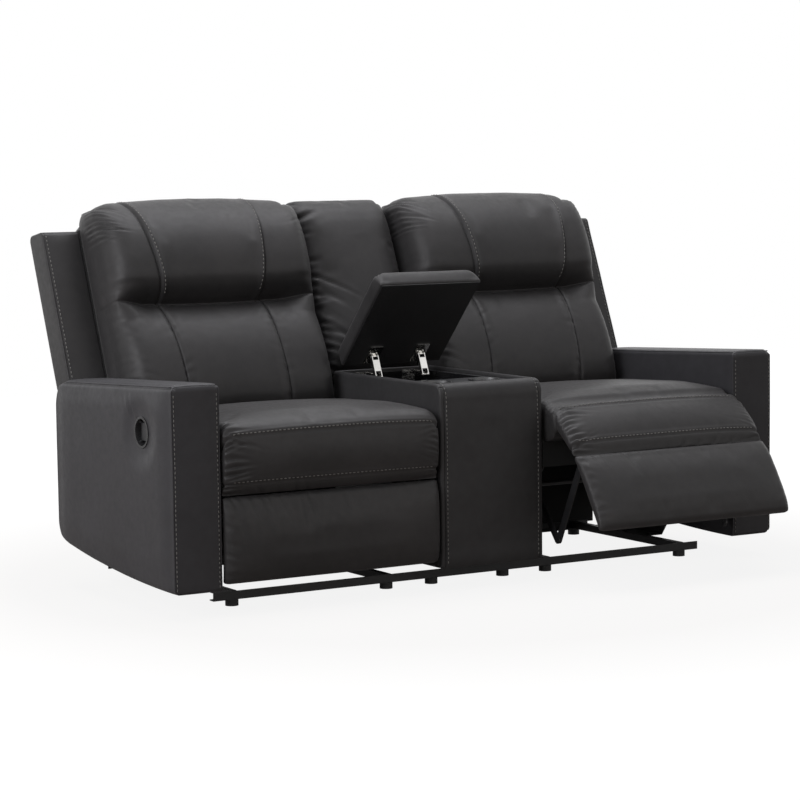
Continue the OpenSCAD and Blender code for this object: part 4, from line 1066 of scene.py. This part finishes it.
def cut_hole(o, x0, x1, y, z, d, material):
    """Cuts a round hole along X"""
    n = 72
    x0, x1 = sorted((x0, x1))
    a = np.arange(n) * 2 * np.pi / n
    ring = cols(x0, y + d / 2 * np.cos(a), z + d / 2 * np.sin(a))
    other = ring.copy()
    other[:, 0] = x1
    cutter = solid("cutter", np.concatenate([ring, other]), tube_faces(2, n), o.data.materials[0])
    m = o.modifiers.new("hole", "BOOLEAN")
    m.operation = "DIFFERENCE"
    m.solver = "EXACT"
    m.object = cutter
    mesh = bpy.data.meshes.new_from_object(o.evaluated_get(bpy.context.evaluated_depsgraph_get()))
    o.modifiers.clear()
    o.data = mesh
    mesh.materials.clear()
    mesh.materials.append(material)
    mesh.polygons.foreach_set("use_smooth", [True] * len(mesh.polygons))
    bpy.data.objects.remove(cutter)


for name, side in SIDES:
    p, f = slab((ARM_D, 500, arm_outline), SKIN_IN, SKIN_OUT, 3, 16, ends=(1, 2.2, 4, 7, 11, 16, 22))
    x, y, z = p.T
    for edge, way, r in ((SKIN_OUT, 1, 18), (SKIN_IN, -1, 13)):
        x, z = corner(x, z, edge, arm_high(y), way, 1, r)
    x, z = corner(x, z, SKIN_OUT, arm_low(y), 1, -1, 18)
    p = cols(x, y, z)
    outer = ease((x - (ARM_OUT - 20)) / 14)
    inner = ease((ARM_IN + 16 - x) / 14)
    top, low = arm_high(y), arm_low(y)
    dome = ease(y / 70) * ease((ARM_D - y) / 120) * ease((top - z) / 60) * ease((z - low) / 80)
    away = np.hypot(y - LATCH[0], z - LATCH[1])
    flat = 1 - ease((away - 44) / 60)
    puff = (5.5 * dome + 0.8 * noise(p, 140.0, 2 + side)) * (1 - flat) - 2.0 * flat
    # Slack folds rise to the rear of the latch
    c = y - LATCH[0] - 30 - 0.5 * (z - LATCH[1] - 36)
    fold = bell(c, 6) - 0.9 * bell(c - 13, 5) + 0.8 * bell(c - 26, 6) - 0.5 * bell(c - 38, 5)
    puff += 2.4 * fold * ease((z - LATCH[1] - 22) / 22) * ease((top - 14 - z) / 40) * (side < 0)
    roll = 2.5 * (1 - ease(y / 40)) + 6.0 * (1 - ease((ARM_D - y) / 70))
    p[:, 0] += outer * (np.maximum(puff, -2) - roll - 2.2 * bell(top - z - 10, 2.4)) - inner * (3.0 * dome)
    # The front and top strip swells between its two edge seams
    v = (x - SKIN_IN) / (SKIN_OUT - SKIN_IN)
    seams = bell(x - SKIN_IN - 4.5, 1.8) + bell(x - SKIN_OUT + 4.5, 1.8)
    p[:, 1] -= bell(y, 8) * (2.6 * bulge(v) - 2.0 * seams)
    seams = bell(x - SKIN_IN - 9, 2.6) + bell(x - SKIN_OUT + 12, 2.6)
    p[:, 2] += bell(top - z, 8) * (2.0 * bulge(v) - 1.5 * seams)
    q = mirrored(p, side)
    o = solid(f"arm_skin_{name}", q, outward(q, f), ARM_SKIN)
    cut_hole(o, side * (ARM_OUT - 27), side * (ARM_OUT + 20), *LATCH, 76.4, ARM_SKIN)
    z = np.linspace(arm_low(0) + 8, ARM_H - 22, 60)
    lines = [mirrored(cols(x, -3, z), side)
             for x in (SKIN_IN + 8, SKIN_OUT - 8)]
    sew(f"arm_stitches_{name}", lines, o, "root", "arm_upholstery", seed=7)
    y = np.linspace(10, 640, 90)
    welt = [tube(mirrored(cols(x, y, arm_high(y) - down), side), 1.7)
            for x, down in ((SKIN_IN + 4.6, 3.0), (SKIN_OUT - 6.4, 4.2))]
    pipe = solid(f"arm_welts_{name}", *joined(*welt), ARM_SKIN)
    place(pipe, "root")
    place(o, "root", (f"arm_cover_{name}",))

# Console

CON_X, CON_LOW, CON_TOP, CON_D = 159.0, 58.0, 541.0, 566.0


def console_side(a, c):
    y, z = a * CON_D, CON_LOW + c * (CON_TOP - CON_LOW)
    y, z = corner(y, z, 0, CON_TOP, -1, 1, 30)
    return corner(y, z, CON_D, CON_TOP, 1, 1, 8)


parts = []
for side in (-1, 1):
    p, f = slab((CON_D, CON_TOP - CON_LOW, console_side), 143, 159, 7.9, 20, 0)
    x, y, z = p.T
    dome = ease(y / 90) * ease((CON_D - y) / 90) * ease((CON_TOP - z) / 70) * ease((z - CON_LOW) / 70)
    p[:, 0] += np.where(x > 151, 1, 0) * dome * (2.5 + 0.8 * noise(p, 120.0, 4 + side))
    p = mirrored(p, side)
    parts.append((p, outward(p, f)))
# The front strip of leather, from the floor side up over the edge to the tray
WATER = Path(np.array([
    (0, 58, 12, 59), (-1.5, 66, 12, 66), (-2.5, 120, 12, 120), (-3.5, 220, 12, 220), (-3.5, 330, 12, 330),
    (-2.5, 430, 12, 430), (-1, 490, 12, 490), (1, 513, 13, 508), (8, 529, 17, 520), (18, 538, 22, 525),
    (30, 541.5, 31, 529), (38, 540, 37, 530), (41, 533, 39.5, 530.5)], float))
w = 294.0
b = Block(steps(WATER.length, 20, (4, 9), (4, 9)), steps(w, 20, (3, 7, 12), (3, 7, 12)), [0, 0.5, 1]).finer(3)
s, x, t = WATER.shaped(b.points, w, 2.5, lambda s, t, thick: (2, np.minimum(6, thick * 0.45)))
y, z = WATER.at(s, t)
q = cols(x, s, 0)
up = 1.5 * (1 - (2 * x / w - 1) ** 4) + 0.9 * noise(q, 110.0, 9) + 0.35 * noise(q, 40.0, 10)
y -= up * t * ease((500 - z) / 60)
p = cols(x - w / 2, y, z)
parts.append((p, outward(p, b.quads)))
rear = (12, CON_TOP - CON_LOW, lambda a, c: (CON_D - 12 + 12 * a, CON_LOW + c * (CON_TOP - CON_LOW)))
p, f = slab(rear, -145, 145, 4, 22, 0)
parts.append((p, outward(p, f)))
o = solid("console_skin", *joined(*parts), CONSOLE_SKIN)
s = np.linspace(12, WATER.length - 14, 90)
y, z = WATER.at(s, 1)
lines = [cols(x, y, z) for x in (-141.5, 141.5)]
sew("console_stitches", lines, o, "root", "console_upholstery", seed=9)
place(o, "root", ("console_cover",))

# Lid


LID_W, LID_D, LID_H = 318.0, 320.0, 54.0
LID_REAR, LID_LOW = 228.0, 545.6


def lid_shape(u):
    """The closed lid's points: a pad whose leather goes on round the board's edges"""
    x, y, t = u.T
    plan = 7 + 26 * ease(t)
    radii = cols(plan, plan * 0.75, np.where(t < 0.4, 2.5, 20))
    q = rounded(cols(x, y, t * LID_H), np.array([LID_W, LID_D, LID_H]), radii)
    x, y, h = q.T
    v, w = 2 * x / LID_W - 1, 2 * y / LID_D - 1
    t = h / LID_H
    tx, ty = np.minimum(x, LID_W - x), np.minimum(y, LID_D - y)
    up = 6 * (1 - v ** 2) * (1 - w ** 2) + 1.0 * noise(q, 90.0, 3)
    up += -1.6 * bell(np.minimum(tx, ty) - 13, 3) * (t > 0.6)
    swell = 2.5 * bulge(t)
    for a in (0, LID_W):
        for b in (0, LID_D):
            e = np.hypot(x - a, y - b)
            s = np.arctan2(np.abs(y - b) + 1e-6, np.abs(x - a) + 1e-6) * 60
            rows = [(25, 6, 2.0, 34, 0), (55, 7, 2.4, 40, 0), (78, 5, 1.6, 26, 0)]
            up += folds(s, np.maximum(e - 10, 0), rows) * (t > 0.5)
    x = x + np.where(x < 20, -1, np.where(x > LID_W - 20, 1, 0)) * swell * ease((ty - 6) / 30)
    y = y + np.where(y < 20, -1, np.where(y > LID_D - 20, 0.3, 0)) * swell * ease((tx - 6) / 30)
    return cols(x - LID_W / 2, LID_REAR + y, LID_LOW + h + up * t * t)


ends = (5, 11, 18)
coarse = Block(steps(LID_W, STEP, ends, ends), steps(LID_D, STEP, ends, ends), [0, 0.25, 0.5, 0.75, 1])
x, y, t = coarse.points.T
edge = np.minimum(np.minimum(x, LID_W - x), np.minimum(y, LID_D - y))
held = (t < 0.1) | ((edge > 8) & (edge < 16) & (t > 0.9))
p, faces = puffed(coarse, lid_shape, held, 1.5, 0.003, 5)
p = turned(p, LID_AXIS, LID_OPEN)
o = solid("lid_cover", p, outward(p, faces), SKIN)
place(o, "lid", ("lid_pad",))

# Finishes of the carried-over parts

for part in frame["record"]["subparts"]:
    node = part["node"]
    slot_name = next((k for k in FINISH if node.startswith(k)), part["material_slot"])
    if slot_name in FINISH:
        for slot in bpy.data.objects[node].material_slots:
            slot.link = "OBJECT"
            slot.material = FINISH[slot_name]

# Stage, light and camera

WORLD_FILL = 0.07
FLOOR_COLOUR = (0.40, 0.36, 0.33)

scene = bpy.context.scene
scene.view_settings.view_transform = "Standard"


def backdrop(t, kind, strength, own, share, out):
    """Mixes a plain white into a tree's own shader, by the share that a ray sees"""
    white = wired(t, kind, {"Color": (1, 1, 1), "Strength": strength})[0]
    put(t, t.nodes[out].inputs["Surface"], wired(t, "ShaderNodeMixShader", {0: share, 1: own, 2: white})[0])


def seen(t, **weights):
    """How much of the white each kind of ray sees, as one socket"""
    path = wired(t, "ShaderNodeLightPath", {})
    total = 0
    for ray, weight in weights.items():
        inputs = {0: path[f"Is {ray} Ray"], 1: weight, 2: total}
        total = wired(t, "ShaderNodeMath", inputs, operation="MULTIPLY_ADD", use_clamp=True)[0]
    return total


studio = bpy.data.worlds.new("studio")
scene.world = studio
studio.use_nodes = True
t = studio.node_tree
plain = t.nodes["Background"]
plain.inputs["Color"].default_value = (0.93, 0.95, 1.0, 1)
plain.inputs["Strength"].default_value = WORLD_FILL
share = seen(t, Camera=1.0, Glossy=1.0, Transmission=1.0)
backdrop(t, "ShaderNodeBackground", 1.0, plain.outputs[0], share, "World Output")

floor = solid("floor", [(-6000, -5000, -0.5), (6000, -5000, -0.5), (6000, 6000, -0.5), (-6000, 6000, -0.5)],
              [[0, 1, 2, 3]], None, False)
paint = Nodes("floor")
paint.set(Base_Color=FLOOR_COLOUR, Roughness=0.9, Specular_IOR_Level=0.1)
t = paint.t
# Away from the object the floor goes over into the white background
where = wired(t, "ShaderNodeNewGeometry", {})["Position"]
away = wired(t, "ShaderNodeVectorMath", {0: where}, operation="LENGTH")["Value"]
ramp = {"Value": away, "From Min": 1.1, "From Max": 2.3, "To Min": 0.8, "To Max": 1.0}
fade = wired(t, "ShaderNodeMapRange", ramp)["Result"]
share = seen(t, Camera=1.0, Glossy=0.1, Transmission=0.1)
share = wired(t, "ShaderNodeMath", {0: share, 1: fade}, operation="MULTIPLY")[0]
backdrop(t, "ShaderNodeEmission", 1.1, paint.shader.outputs[0], share, "Material Output")
floor.data.materials.clear()
floor.data.materials.append(paint.m)


def lamp(name, at, aim, size, power, colour):
    data = bpy.data.lights.new(name, "AREA")
    data.shape = "RECTANGLE"
    data.size, data.size_y = size
    data.energy = power
    data.color = colour
    o = bpy.data.objects.new(name, data)
    o.location = at
    o.rotation_euler = (Vector(aim) - Vector(at)).to_track_quat("-Z", "Y").to_euler()
    scene.collection.objects.link(o)


lamp("key", (-3.8, -0.7, 1.9), (0, 0, 0.5), (2.6, 2.0), 75, (0.97, 0.97, 1.0))
lamp("top", (0.1, 0.4, 3.5), (0, 0.1, 0.5), (3.4, 2.2), 86, (0.96, 0.96, 1.0))
lamp("front", (1.2, -4.6, 1.6), (0, 0, 0.5), (3.0, 2.0), 13, (1.0, 0.90, 0.82))

AZ, EL, ROLL = math.radians(-31.027), math.radians(6.0763), math.radians(-0.7049)
ahead = np.array([-math.sin(AZ) * math.cos(EL), math.cos(AZ) * math.cos(EL), -math.sin(EL)])
right = np.array([math.cos(AZ), math.sin(AZ), 0.0])
above = np.cross(right, ahead)
right2 = right * math.cos(ROLL) + above * math.sin(ROLL)
above2 = above * math.cos(ROLL) - right * math.sin(ROLL)
data = bpy.data.cameras.new("camera")
data.lens = 115.54
data.sensor_width = 36
data.shift_x, data.shift_y = -0.0128, 0.0437
data.clip_end = 60
camera = bpy.data.objects.new("camera", data)
scene.collection.objects.link(camera)
eye = np.array([-3.6338, -5.6239 + FRONT, 1.1148])
rows = cols(right2, above2, -ahead, eye)
camera.matrix_world = Matrix([*rows.tolist(), [0, 0, 0, 1]])
scene.camera = camera
